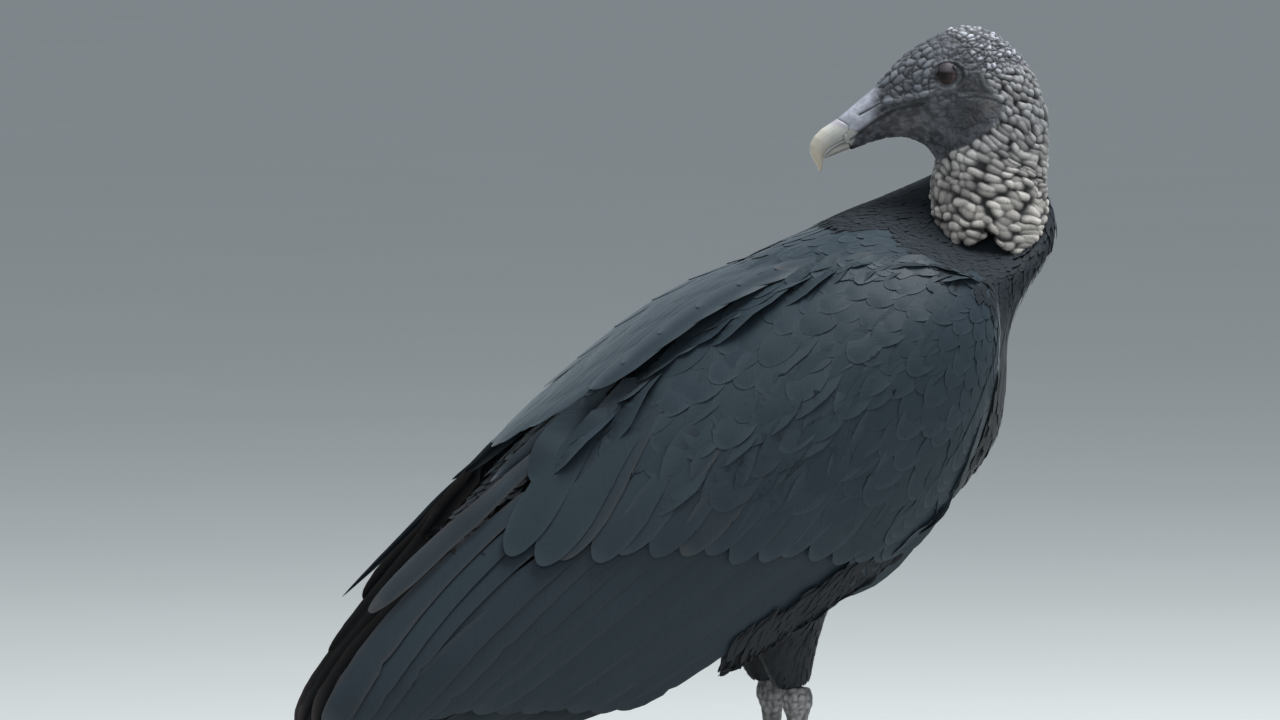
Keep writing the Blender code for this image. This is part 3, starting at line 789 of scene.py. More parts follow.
def greater_coverts(coat, relief):
    """Two rows of long coverts over the roots of the flight feathers."""
    rng = coat.rng
    for row, (rise, size, lift) in enumerate(((0.0, 88.0, -0.205), (24.0, 66.0, -0.6))):
        count = 16 - row
        x = np.linspace(-162 + 20 * row, 34 + 12 * row, count)
        z = 160.0 + rise + 2.5 * np.sin(x / 21.0) - 3.0 * ramp(x, -20, 40) + rise * ramp(-x, -60, 60) * 0.4
        x = x + rng.uniform(-3.0, 3.0, count)
        z = z + rng.uniform(-4.0, 4.0, count)
        lengths = np.where(x < -60, size, size - 42 * ramp(x, -60, 40)) * rng.uniform(0.95, 1.05, count)
        angles = 57 - 4 * ramp(x, -120, 0) + rng.uniform(-1.5, 1.5, count)
        tip_lift = lift + 1.6 * ramp(-x, 115, 160)
        tips = np.stack([x, z], -1)
        spine, normal = blades(relief, tips, angles, lengths, tip_lift - 0.7, tip_lift, 24, -0.10)
        wide = np.interp(x, (-165, -120, 30), (11.0, 10.2, 8.4))[:, None]
        worn = np.where(rng.random(count) < 0.2, 0.3, 0.03)
        coat.add(spine, normal, outline(stations_of(24), 0.68, 0.45, 1.9) * wide,
                 on_unwrap(0.45 - 0.001 * x, 0.4 + 0 * x), rng.uniform(0.35, 0.65, count),
                 wear=worn, camber=0.02, thick=0.06, ridge=0.10, roll=0.02)


def small_coverts(coat, mesh, tree):
    """Lesser and median coverts over the front of the wing, up under the scapulars."""
    rng = coat.rng

    def on_wing(p):
        x, z = p[:, 0], p[:, 2]
        _, v, off = wing_places(p)
        low_line = 196 + 26 * ramp(-x, 20, 120) - 60 * ramp(x, -10, 60)
        shown = (off < 3) & (v > -0.22) & (v < 0.995) & (z > low_line)
        return shown & (p[:, 1] > 22) & (z > 150) & (x > -175)

    for under, sparser in ((True, 2.0), (False, 1.0)):
        spots, gaps = scattered(*mesh, lambda p: sparser * (4.6 + 6.4 * ramp(wing_places(p)[0], 0.02, 0.5)),
                                on_wing, rng, 30000)
        t, v, _ = wing_places(spots)
        edge = np.clip(v, 0, 1)
        flow = wing_flow(t, edge, 20 * (1 - edge**2)) + rng.normal(0, 0.045, spots.shape)
        size = gaps * 3.7 * rng.uniform(0.9, 1.1, len(spots)) * (1 + 0.35 * ramp(v, 0.75, 1.0))
        size = np.minimum(size, 75) if under else size
        s = stations_of(12)
        lift = -1.2 + 1.32 * s - 0.36 * ramp(s, 0.76, 1.0)
        lift = lift + rng.uniform(-0.05, 0.05, (len(spots), 1)) - 0.9 * under
        wide = gaps * 0.90 * rng.uniform(0.94, 1.06, len(spots)) * (1 - 0.25 * ramp(v, 0.8, 1.0))
        coat.lay(tree, spots, flow, size, 0.45, lift, (0.58, 0.35, 1.9), wide, on_unwrap(t, v),
                 rng.uniform(0.05, 0.55, len(spots)), half=2, camber=0.03, thick=0.04, rough=0.015)


def rim_coverts(coat, tree):
    """Rows along the wing's leading edge, over the feathers of the breast."""
    rng, count = coat.rng, 26
    for row in range(3):
        t = np.linspace(0.03, 0.38, count) + rng.uniform(-0.004, 0.004, count)
        v = np.full(count, 0.985 - 0.045 * row)
        x, z = wing_xz(t, v)
        y = [seen_from_side(tree, *place) or 30.0 for place in zip(x, z)]
        size, wide = (np.interp(t, (0, 0.2, 0.38), sizes) for sizes in ((14, 28, 36), (4.5, 6.0, 6.5)))
        lift = -0.5 + 0.9 * stations_of(14) + 0.12 * row
        coat.lay(tree, np.stack([x, y, z], -1), wing_flow(t, v, 2.0), size, 1.0, lift, (0.6, 0.4, 1.9), wide,
                 on_unwrap(t, v), rng.uniform(0.3, 1, count),
                 half=3, thick=0.08, ridge=0.06, rough=0.02, roll=0.04)


def make_wing(name, side, guide, material):
    rng = np.random.default_rng(11 + side)
    quills, coverts = (Coat(f"{kind}_{name}", rng, side < 0) for kind in ("wing_quills", "wing_coverts"))
    relief = Relief(in_canonical(node_mesh("wing_" + name), side), (-290, 115), (20, 345))
    primaries(quills, side)
    flight_feathers(quills, relief)
    strap_feathers(quills, relief)
    quills.finish(material, "wing_" + name, "primaries_" + name)
    mesh = in_canonical(guide, side)
    tree = tree_of(*mesh)
    greater_coverts(coverts, relief)
    small_coverts(coverts, mesh, tree)
    rim_coverts(coverts, tree)
    coverts.finish(material)


# ---- tail


# Middle of the tail from root to tip: x, z, half its width, and how far its edges droop.
TAIL = np.array([(-108, 172, 12, 2), (-128, 152, 18, 3), (-160, 118, 23, 4), (-190, 86, 25, 5),
                 (-218, 57, 27, 6), (-238, 37, 29, 6), (-245, 30, 29, 6)], float)


def make_tail(material):
    """Twelve tail feathers, the middle pair on top."""
    coat = Coat("tail_feathers", np.random.default_rng(5))
    s = stations_of(26)
    x, z, wide, droop = (np.interp(s, np.linspace(0, 1, len(TAIL)), column) for column in TAIL.T)
    along = unit(np.gradient(np.stack([x, z], -1), axis=0))
    normal = np.stack([-along[:, 1], 0 * s, along[:, 0]], -1)
    normal *= np.sign(normal[:, 2:3])
    narrow, broad = (half_width * outline(s, 0.9, 0.5, 2.4)[None] for half_width in (6.0, 9.5))
    for w in np.arange(-5.5, 6) / 5.5:
        line = np.stack([x, w * wide * 0.86, z], -1)
        line = line[0] + (line - line[0]) * (1 - 0.035 * abs(w))
        spine = line + normal * (1.2 - 2.0 * abs(w) - droop * w * w)[:, None]
        lean = unit(normal + np.array([0, 1, 0]) * (2 * w * droop / wide)[:, None])
        coat.add(spine[None], lean[None], (narrow, broad) if w > 0 else (broad, narrow),
                 np.array([[0.5 + 0.4 * w, 0.5]]), [coat.rng.uniform(0.1, 0.7)],
                 wear=0.3, camber=0.05, ridge=0.35, rough=0.02)
    coat.finish(material, "tail")


# ---- body plumage


BODY_LINE = np.array([(108, 336), (100, 318), (84, 298), (56, 268), (22, 235), (-30, 205), (-80, 178),
                      (-130, 155), (-180, 125)], float)


def body_flow(points):
    """Which way the plumage lies: along the body from neck to tail, and a little down."""
    distance = np.linalg.norm(points[:, None, [0, 2]] - BODY_LINE[None], axis=2)
    share = np.exp(-((distance / 45.0) ** 2)) + 1e-9
    way = unit((share[..., None] * np.gradient(BODY_LINE, axis=0)[None]).sum(1))
    return unit(np.stack([way[:, 0], np.zeros(len(points)), way[:, 1] - 0.25], -1))


def scattered(points, faces, spacing, keep, rng, tries):
    """Random points on a mesh no nearer to each other than spacing(points), and each one's spacing.

    A spacing wider than the search grid's cell is only kept to in part.
    """
    a, b, c = (points[faces[:, k]] for k in range(3))
    area = np.linalg.norm(np.cross(b - a, c - a), axis=1)
    pick = rng.choice(len(faces), tries, p=area / area.sum())
    u, v = rng.random(tries), rng.random(tries)
    flip = u + v > 1
    u, v = np.where(flip, 1 - u, u), np.where(flip, 1 - v, v)
    spots = a[pick] + (b - a)[pick] * u[:, None] + (c - a)[pick] * v[:, None]
    spots = spots[keep(spots)]
    gaps = spacing(spots)
    around = list(itertools.product((-1, 0, 1), repeat=3))
    cell, grid, chosen = 12.0, {}, []
    for index, (spot, gap) in enumerate(zip(spots.tolist(), gaps.tolist())):
        i, j, k = (int(q // cell) for q in spot)
        near = itertools.chain.from_iterable(grid.get((i + di, j + dj, k + dk), ()) for di, dj, dk in around)
        if all(math.dist(spot, other) >= gap for other in near):
            grid.setdefault((i, j, k), []).append(spot)
            chosen.append(index)
    return spots[chosen], gaps[chosen]


def thinned(spots, gap):
    """The points that remain when none is nearer than gap to one kept before it."""
    tree = KDTree(len(spots))
    for k, spot in enumerate(spots.tolist()):
        tree.insert(spot, k)
    tree.balance()
    kept = np.ones(len(spots), bool)
    for k, spot in enumerate(spots.tolist()):
        if kept[k]:
            for _, other, _ in tree.find_range(spot, gap):
                kept[other] &= other <= k
    return spots[kept]


def body_regions(spots):
    """Which plumage each root belongs to: 0 mantle, 1 breast and rump, 2 neck, 3 thigh, 4 elsewhere."""
    trees = [tree_of(*node_mesh(name)) for name in PLUMED]
    away = np.array([[tree.find_nearest(Vector(spot))[3] for spot in spots.tolist()] for tree in trees])
    which = away.argmin(0)
    trunk, neck, thigh = which == 0, which == 1, which >= 4
    x, z = spots[:, 0], spots[:, 2]
    on_back = trunk & (z > 250 + 0.62 * (x - 20))
    collar = (z < 317) & (z > 290) & (x < 50)
    under_wing = (x > -52) & (z < np.interp(x, (-71, -34, 18, 33, 54), (103, 128, 160, 162, 155)))
    ragged = 6.0 + 2.5 * value_noise(spots, 7.0, 3)
    near_neck = (away[1] < ragged - 4.5 * on_back) & ~neck & (z > 262) & ~collar
    mantle = (on_back & (x >= -128)) | (neck & collar)
    return np.select([near_neck, mantle, trunk, neck, thigh | under_wing], [2, 0, 1, 2, 3], 4)


def make_body_coat(guide, mantle, breast, velvet):
    rng = np.random.default_rng(8)
    tree = tree_of(*guide)
    kinds = (
        # name, material, spacing, length, half width, stations, half, root lift, tip lift, disorder, loose,
        # where widest, how square at the tip
        ("mantle_feathers", mantle, 6.0, 31.0, 5.6, 10, 2, -1.3, 0.1, 0.06, 0.2, 0.62, 2.0),
        ("breast_feathers", breast, 4.6, 21.0, 3.9, 9, 2, -1.2, 0.3, 0.12, 0.2, 0.62, 2.0),
        ("neck_feathers", velvet, 2.05, 10.5, 1.7, 6, 1, -0.42, 0.08, 0.08, 0.06, 0.5, 1.6),
        ("thigh_feathers", breast, 2.3, 15.0, 1.5, 7, 1, -0.8, 0.2, 0.12, 0.13, 0.5, 1.6),
    )
    dense, _ = scattered(*guide, lambda p: np.full(len(p), 1.95), lambda p: p[:, 2] > 92, rng, 170000)
    regions = body_regions(dense)
    for region, kind in enumerate(kinds):
        name, material, spacing, length, wide, stations, half, *lifts, disorder, loose, widest, tip = kind
        coat = Coat(name, rng)
        s = stations_of(stations)
        for under in (True, False):
            sparser, longer, broader, lower = (2.4, 1.2, 2.2, 0.6) if under else (1, 1, 1, 0)
            spots = thinned(dense[regions == region], spacing * sparser)
            count = len(spots)
            x, z = spots[:, 0], spots[:, 2]
            flow = body_flow(spots)
            if region == 3:
                back = -0.1 - 0.7 * ramp(z, 95, 150)
                flow = unit(np.stack([back, 0 * back, -1 + 0 * back], -1))
            flow = unit(flow + rng.normal(0, disorder, flow.shape))
            rump = ramp(-x, 125, 140) * (region == 1)
            size = length * rng.uniform(0.8, 1.2, count) * longer * (1 - 0.5 * rump)
            if region == 2:
                size *= 1 + 0.5 * ramp(-z, -285, -265)
            high = rng.uniform(-loose, loose, (count, 1)) * (s if region >= 2 else 1) - lower
            fuzzy = np.zeros(count)
            if region == 0:
                high = high - 1.5 * ramp(-x, 115, 140)[:, None]
            if region == 1:
                high = high + (3.0 * bell(z, 232, 28) * ramp(x, 55, 80) - 1.7 * rump)[:, None]
            if region == 2:
                fuzzy = (rng.random(count) < 0.35) * ramp(x, 98, 112) * ramp(z, 255, 285) * (not under)
                high = high + 0.5 * (ramp(z, 314, 324) * ramp(-x, -95, -80))[:, None]
                high = high + 1.2 * fuzzy[:, None] * s
            breadth = wide * rng.uniform(0.85, 1.15, count) * broader * (1 - 0.45 * fuzzy)
            high = high + lifts[0] + (lifts[1] - lifts[0]) * s
            # painted shade: the rump's feathers, deep between the wings, have their tint cut by the rump's
            # share and so take a darker colour
            coat.lay(tree, spots, flow, size, 0.4, high, (widest, 0.4, tip), breadth, body_patch(spots),
                     rng.uniform(0.35, 0.65, count) * (1 - rump),
                     half=half, camber=0.03, thick=0.06, rough=0.03)
        coat.finish(material)


# ---- scapulars


# Edge of the scapular cape from the neck backwards: x, z, and how far it is from the midline.
CAPE = np.array([
    (64, 325, 27), (47, 317, 31), (30, 309.5, 34), (3, 303, 36),
    (-18, 297, 37), (-39, 289, 37), (-59, 279.5, 37), (-76, 267.5, 36),
    (-96, 251.5, 35), (-115, 236, 34), (-130, 225.5, 32), (-145, 215, 30),
    (-160, 204, 27), (-176, 190, 24), (-194, 174, 20), (-212, 156, 17),
], float)
SMOOTH_CAPE = softened(softened(CAPE.T))
CAPE_LENGTH = 345.0
CAPE_SPAN = math.radians(78)  # how far each half of the cape bends round the back
CAPE_CROWN = 5.0


def cape_surface(u, w):
    """Points of the cape a share u from neck to rump and w from the midline to its edge, and its normals."""
    def at(u, w):
        x, z, wide = (np.interp(u, np.linspace(0, 1, len(CAPE)), column) for column in SMOOTH_CAPE)
        turn = w * CAPE_SPAN
        crown = CAPE_CROWN * (np.cos(turn) - math.cos(CAPE_SPAN))
        return np.stack([x, wide * np.sin(turn) / math.sin(CAPE_SPAN), z + crown], -1)

    along = at(np.minimum(u + 0.01, 1), w) - at(np.maximum(u - 0.01, 0), w)
    return at(u, w), unit(np.cross(at(u, w + 0.02) - at(u, w - 0.02), along))


def make_cape(name, side, material):
    """Scapulars of one side: long smooth feathers, the lowest row hanging free over the wing."""
    rng = np.random.default_rng(31 + side)
    coat = Coat("scapulars_" + name, rng, side < 0)
    s = stations_of(24)[None]
    for row, w in enumerate((0.79, 0.70, 0.59, 0.48, 0.36, 0.24, 0.12, 0.02)):
        lowest = row == 0
        last = np.interp(w, (0, 0.8), (0.83, 0.61))
        tips = np.arange(0.20 - 0.02 * row + 0.03 * (row % 2), last, 0.066 + 0.018 * (row > 2))
        tips = tips + rng.uniform(-0.006, 0.006, len(tips))
        length = np.interp(tips, (0.1, 0.3, 0.6, 1), (38, 72, 108, 115)) * rng.uniform(0.93, 1.07, len(tips))
        u0 = np.maximum(tips - length / CAPE_LENGTH, 0.08)[:, None]
        u = u0 + (tips[:, None] - u0) * s
        across = np.clip(w - 0.10 * (1 - s) + rng.uniform(-0.015, 0.015, (len(tips), 1)), 0.0, 1.02)
        spine, normal = cape_surface(u, across)
        lift = -1.6 + 2.1 * s + 0.10 * row + 0.6 * lowest - 2.5 * (1 - ramp(u, 0.06, 0.18))
        lift = lift - (not lowest) * (0.4 * s + 0.7 * ramp(s, 0.8, 1))
        spine = spine + normal * lift[..., None]
        wide = np.interp(tips, (0.1, 0.35, 1), (6.5, 9.0, 9.5)) * (1.12 if lowest else 1.0)
        worn = np.where(rng.random(len(tips)) < 0.12, 0.4, 0.03)
        coat.add(spine, normal, outline(s, 0.72, 0.45, 1.9) * wide[:, None],
                 body_patch(spine[:, 0] * (1, side, 1)), rng.uniform(0.5, 1, len(tips)), wear=worn,
                 curl=0.22 if lowest else 0.05, thick=0.2, ridge=0.05, roll=0.05)
    coat.finish(material)


# ---- flesh


def inner_balls(name, coat_depth, spacing):
    """Centres and radii of balls that fill a node up to the coat's depth below its surface."""
    least, overlap = 2.6, 0.8  # a smaller ball is left out, and so is one that stands out less from another
    points, faces = node_mesh(name)
    tree = tree_of(points, faces)
    axes = [np.arange(points[:, k].min() + spacing / 2, points[:, k].max(), spacing) for k in range(3)]
    balls = []
    for spot in np.stack(np.meshgrid(*axes, indexing="ij"), -1).reshape(-1, 3).tolist():
        radius = tree.find_nearest(Vector(spot))[3] - coat_depth
        if radius >= least and all(
            (hit := tree.ray_cast(Vector(spot), way))[0] is not None and hit[1].dot(way) > 0
            for way in (Vector((0.02, 0.01, 1)), Vector((0.01, 1, 0.02)))
        ):
            balls.append((*spot, radius))
    balls = np.array(balls)
    kept = []
    for ball in balls[np.argsort(-balls[:, 3])]:
        other = np.array(kept).reshape(-1, 4)
        swallowed = np.linalg.norm(other[:, :3] - ball[:3], axis=1) + ball[3] < other[:, 3] + overlap
        if not swallowed.any():
            kept.append(ball)
    return kept


def body_flesh():
    """The body inside its coat, joined to the ankles, the shoulders and the neck."""
    balls = []
    for name, coat_depth in zip(PLUMED, (5.0, 4.0, 2.6, 2.6, 3.2, 3.2)):
        balls += inner_balls(name, coat_depth, 6.0 if coat_depth > 3.5 else 4.0)
    for side in SIDES.values():
        balls += [(5 * side, 31 * side, z, 5.0) for z in range(88, 105, 4)]
        for out, radius in ((66, 8.0), (76, 6.0)):
            balls += [(30 - 8 * k, side * out, 262 - 6 * k, radius) for k in range(6)]
    balls += [(107, 0, z, 16.0) for z in range(296, 327, 6)]
    balls = np.array(balls)
    points, edges, faces = remeshed([ball_mesh(balls[:, :3], balls[:, 3])], 4.2)
    return relaxed(points, edges, 6, 0.2), faces


def head_flesh():
    head, neck = node_mesh("head"), node_mesh("neck_bare")
    drop = np.array([0, 0, 0.4])  # moves each towards the other, to close the gap between the solids
    points, edges, faces = remeshed([head, neck, (head[0] - drop, head[1]), (neck[0] + drop, neck[1])], 0.55)
    return relaxed(points, edges, 18, 0.42), faces


def leg_flesh():
    foot_roots = ball_mesh([(6, 33, 9.5), (-5, -33, 9.5)], [6.5, 6.5])
    points, edges, faces = remeshed([*(node_mesh(name) for name in LEGS), foot_roots], 1.3)
    points = relaxed(points, edges, 4, 0.3)
    points[:, 2] = np.maximum(points[:, 2], 0.0)
    return points, faces


def united(first, *others):
    base = placed("skin_base", new_mesh("skin_base", *first))
    extra = [placed(f"joined_{k}", new_mesh(f"joined_{k}", *mesh)) for k, mesh in enumerate(others)]
    for k, other in enumerate(extra):
        change = base.modifiers.new(f"join_{k}", "BOOLEAN")
        change.operation, change.solver, change.object = "UNION", "MANIFOLD", other
    data = evaluated(base)
    for other in extra:
        bpy.data.objects.remove(other)
    return data


# ---- head and skin


# Lines on the head in its side view, as distances forward and heights: the mouth, the fold from bill to eye,
# the slit of the nostril.
GAPE = np.array([(66.1, 359.3), (61.5, 362.6), (56.2, 367.0), (50.0, 371.2), (43.9, 374.4), (37.5, 376.0),
                 (31.0, 377.2)])
FOLD = np.array([(60.0, 370.5), (51.5, 376.6), (41.0, 380.0), (31.6, 381.6), (24.0, 383.8)])
NOSTRIL = np.array([(63.6, 370.9), (59.0, 373.2), (54.0, 376.0), (49.0, 379.0)])
# Where the pads of neck and crown begin behind the face: heights, then distances forward.
PAD_EDGE = ((300, 344, 349, 353, 359, 366, 370, 376, 381, 386, 391, 398, 404, 409, 413),
            (80, 40, 23, 17, 6, -3, -7, -9, -3.5, 0.5, 2.5, 4.5, 7, 12, 22))
# Where the skin's front turns to horn: heights, then distances forward.
HORN_EDGE = ((350, 355.8, 359.5, 362.6, 366, 368), (70, 66.1, 64.3, 62.4, 68.6, 78))
NECK_BEADS = 26  # pads round the neck
# How steeply the neck's rows of pads sink towards the nape: heights, then slopes.
ROW_SLOPE = ((300, 345, 360, 376, 390), (0.24, 0.36, 0.75, 0.60, 0.35))
# painted shade for the creases between the head's pads
PAINTED_CREASE_SHADE = (0.018, 0.020, 0.024)
HORN = (0.52, 0.52, 0.485)


def to_line(points, line):
    """Distance of points from a broken line, how far along it each is nearest, and the distance above it."""
    best, place, over = np.full(len(points), 1e9), np.zeros(len(points)), np.zeros(len(points))
    steps = len(line) - 1
    for k, (a, b) in enumerate(zip(line, line[1:])):
        t = np.clip(((points - a) @ (b - a)) / ((b - a) @ (b - a)), 0, 1)
        off = points - a - t[:, None] * (b - a)
        away = np.linalg.norm(off, axis=1)
        closer = away < best
        best, place = np.where(closer, away, best), np.where(closer, (k + t) / steps, place)
        over = np.where(closer, np.sign(off[:, 1]) * away, over)
    return best, place, over


def neck_rows(h, warp):
    """Where points of the neck lie among its rows of pads: the place along a row, and the row."""
    turn = np.arctan2(h[:, 1], h[:, 0] + 2.0)
    axis = h[:, 2].copy()
    for _ in range(8):
        axis = 0.5 * axis + 0.5 * (h[:, 2] - np.interp(axis, *ROW_SLOPE) * h[:, 0])
    heights = np.arange(260.0, 480.0)
    slopes = np.interp(heights, *ROW_SLOPE)
    pitch = (4.1 - 1.3 * ramp(heights, 342, 368)) * np.sqrt(1 + slopes**2)
    row = np.interp(axis, heights, np.cumsum(1 / pitch))
    leaning = np.cumsum(slopes)
    lean = np.interp(axis, heights, leaning) - np.interp(348.0, heights, leaning)
    place = (turn / (2 * math.pi) + 0.5) * NECK_BEADS - 0.14 * np.sin(turn) * lean
    return np.stack([place + 0.5 * warp[:, 0], row + 0.55 * warp[:, 1]], -1)


def tone(base, top, height, power, each, spread):
    """Colour from painted shade in the creases up to the tops of pads, each pad a little lighter or darker.
    """
    base, top = np.array(base), np.array(top)
    rise = np.clip(height, 0, 1) ** power * (1 - spread + 2 * spread * each)
    return base + (top - base) * rise[:, None]


def eye_place(h):
    """Distance from the eye's centre in lid openings, and the place on the lids' own slant, in side view."""
    a, b = turned(h[:, 0] - EYE[0], h[:, 2] - EYE[2], math.radians(10))
    return np.sqrt((a / 4.6) ** 2 + ((b + 0.2) / np.where(b > -0.2, 3.6, 4.1)) ** 2), a, b


def head_regions(f, up, warp):
    """Shares of each kind of skin: the nape's pads, the crown's, cobbles, smooth, cere, the brow's lumps."""
    front = np.interp(up, *PAD_EDGE) + 2.4 * warp[:, 2]
    padded = ramp(front - f, -1.5, 2.5)
    crown = padded * ramp(up + 2.5 * warp[:, 0] + 0.15 * f, 389, 396)
    nape = padded - crown
    cere = ramp(f, 50, 58) * ramp(up - np.interp(f, (45, 75), (371, 356)), -1, 3)
    before = 1 - ramp(f, 50, 60)
    lore = ramp(f, 21, 28) * before * ramp(up - np.interp(f, (20, 60), (384, 372)), -3, 1)
    lore = np.maximum(lore, ramp(f, 18, 26) * ramp(up, 396, 402) * (1 - crown) * before)
    under_eye = bell(f, 21, 10) * bell(up, 380.5, 3.6)
    brow = ramp(f, 22, 28) * (1 - ramp(f, 50, 56)) * ramp(up - np.interp(f, (24, 50), (392, 380)), 0, 5)
    cobble = np.clip(np.maximum(lore, under_eye), 0, 1) * (1 - cere) * (1 - padded) * (1 - brow)
    smooth = np.clip(1 - nape - crown - cobble - cere - brow, 0, 1)
    return nape, crown, cobble, smooth, cere, brow


def head_relief(h):
    """How far each point of the head and neck stands out, and its colour."""
    f, side, up = h[:, 0], np.abs(h[:, 1]), h[:, 2]
    warp = np.stack([value_noise(h, 8.0, seed) for seed in (1, 2, 3)], -1)
    regions = head_regions(f, up, warp)
    nape, crown, cobble, smooth, _, brow = regions

    # Relief and tone of each kind of raised skin.
    small = pads(h / (3.1, 2.9, 2.5) + 0.4 * warp, 9, 0.38)
    lumps = np.stack([(0.77 * f - 0.63 * up) / 5.2, h[:, 1] / 4.2, (0.63 * f + 0.77 * up) / 2.8], -1)
    kinds = (
        # share, pads and their numbers, height and level, variation and level, painted crease shade, tops,
        # power, spread
        (nape, beaded(neck_rows(h, warp), 5, NECK_BEADS), 2.6, 0.6, 0.9, 0.5,
         (0.012, 0.012, 0.014), (0.34, 0.335, 0.335), 2.2, 0.42),
        (crown, small, 1.6, 0.62, 1.0, 0.3, (0.014, 0.015, 0.018), (0.50, 0.51, 0.56), 2.8, 0.7),
        (cobble, pads(h / (4.6, 4.8, 3.4) + 0.35 * warp, 13, 0.36), 1.3, 0.62, 0.7, 0.4,
         PAINTED_CREASE_SHADE, (0.150, 0.165, 0.190), 2.0, 0.35),
        (brow, pads(lumps + 0.3 * warp, 19, 0.36), 1.6, 0.6, 0.9, 0.5,
         PAINTED_CREASE_SHADE, (0.170, 0.185, 0.210), 2.0, 0.45),
    )
    move, tones = 0.9 * nape * value_noise(h, 12.0, 4), []
    for share, (height, each), tall, level, varied, centre, crease_shade, top, power, spread in kinds:
        move += share * (tall * (height - level) + varied * (each - centre))
        tones.append(tone(crease_shade, top, height, power, each, spread))
    neck_tone, crown_tone, stone_tone, lump_tone = tones
    neck_tone *= 1 + (1 - ramp(up, 320, 372))[:, None] * (1.05, 0.92, 0.74)
    fine, _ = pads(h / 1.3, 17, 0.45)
    grainy = smooth * ramp(up, 386, 400)
    wrinkle = np.maximum(bell(value_noise(h * (0.6, 1.0, 1.0), 4.6, 51), 0, 0.09),
                         0.7 * bell(value_noise(h * (0.8, 1.0, 1.0), 2.6, 53), 0, 0.10))
    move += smooth * (0.35 * (fine - 0.5) + 0.45 * warp[:, 1] - 0.5 * wrinkle)
    move += 0.6 * grainy * (small[0] - 0.6)

    # Mouth, fold and nostril.
    flat = np.stack([f, up], -1)
    off_mouth, _, _ = to_line(flat, GAPE)
    mouth = bell(off_mouth, 0, 0.7) * ramp(side, 2, 4)
    move += 0.35 * bell(off_mouth, 1.9, 1.0) * ramp(side, 2, 4) - mouth
    off_fold, place, over = to_line(flat, FOLD)
    ends = ramp(place, 0, 0.25) * (1 - ramp(place, 0.85, 1)) * ramp(side, 4, 7)
    move += ends * (1.0 * bell(off_fold, 0, 1.5) - 0.8 * bell(over, -2.4, 0.7) - 0.5 * bell(over, 2.2, 0.7))
    for rise, depth in ((-3.0, 0.32), (-5.4, 0.26), (-7.8, 0.18)):
        off_crease, _, _ = to_line(flat - (0, rise), GAPE[2:])
        move += -depth * bell(off_crease, 0, 0.6) * ramp(side, 4, 8)
    off_slit, place, _ = to_line(flat, NOSTRIL)
    nostril = bell(off_slit, 0, 0.55) * ramp(side, 3, 5) * ramp(place, 0, 0.15) * (1 - ramp(place, 0.8, 1.0))
    beyond = ramp(f - np.interp(up, *HORN_EDGE), -0.4, 0.4)
    move = (move - nostril) * (1 - beyond)

    # Colours of the smooth face and the cere, and all of them together.
    mottle = ramp(value_noise(h, 2.4, 41), -0.5, 0.5)
    broad = ramp(value_noise(h, 8.0, 43), -0.5, 0.5)
    ear = np.clip(bell(f, 6, 12) * bell(up, 374, 14) + 0.8 * bell(f, 12, 7) * bell(up, 385, 10), 0, 1)
    face = ((0.30 + 1.0 * mottle + 0.5 * broad) * (1 - 0.70 * ear))[:, None] * (0.084, 0.091, 0.108)
    face = blend(face, (0.12, 0.112, 0.108), bell(f, -2, 3.5) * bell(up, 376.5, 3.5))
    # painted shade: the face is darker along its wrinkle grooves
    face *= (1 - 0.6 * wrinkle)[:, None]
    cheek = (0.5 + 0.8 * mottle)[:, None] * (0.150, 0.146, 0.158)
    face = blend(face, cheek, bell(f, 38, 12) * bell(up, 367, 7))
    # painted shade: the face is darker in the creases of its fine pads
    face = blend(face, 0.45 * crown_tone, 0.45 * grainy) * (0.55 + 0.6 * fine)[:, None]
    shaded = 0.50 + 0.50 * ramp(up - np.interp(f, (45, 75), (374, 357)), -3, 5)
    cere_tone = ((0.80 + 0.3 * mottle) * shaded)[:, None] * (0.52, 0.54, 0.62)
    tones = (neck_tone, crown_tone, stone_tone, face, cere_tone, lump_tone)
    colour = sum(share[:, None] * each for share, each in zip(regions, tones))
    colour = colour / np.maximum(sum(regions), 1e-6)[:, None]
    colour = blend(colour, HORN, beyond)
    colour = blend(colour, (0.20, 0.21, 0.235), ends * bell(off_fold, 0, 1.3) * 0.7)

    # The ring of beads round the eye, and what lies in shadow.
    rho, a, b = eye_place(h)
    eyed, behind = side > 8, 1 - ramp(a - 0.6 * b, -1, 3.5)
    bead, bead_id = pads(h / 1.9, 31, 0.4)
    # painted shade: the creases between the beads round the eye are darkest
    bead_tone = tone((0.024, 0.027, 0.032), (0.17, 0.19, 0.22), bead, 2.0, bead_id, 0.5)
    colour = blend(colour, bead_tone, bell(rho, 1.32, 0.28) * eyed * np.clip(0.45 - 0.12 * (a + b), 0.1, 1))
    dark = 0.85 * mouth + nostril + 0.6 * ends * bell(over, -2.4, 0.8)
    dark += (0.95 * bell(rho, 0.99, 0.15) + 0.85 * bell(rho, 1.62, 0.14) * behind) * eyed
    dark += 0.6 * bell(rho, 1.3, 0.35) * eyed * ramp(b + 0.5 * a, -1.5, 2.5)
    return move, colour * (1 - np.clip(dark, 0, 0.93))[:, None]


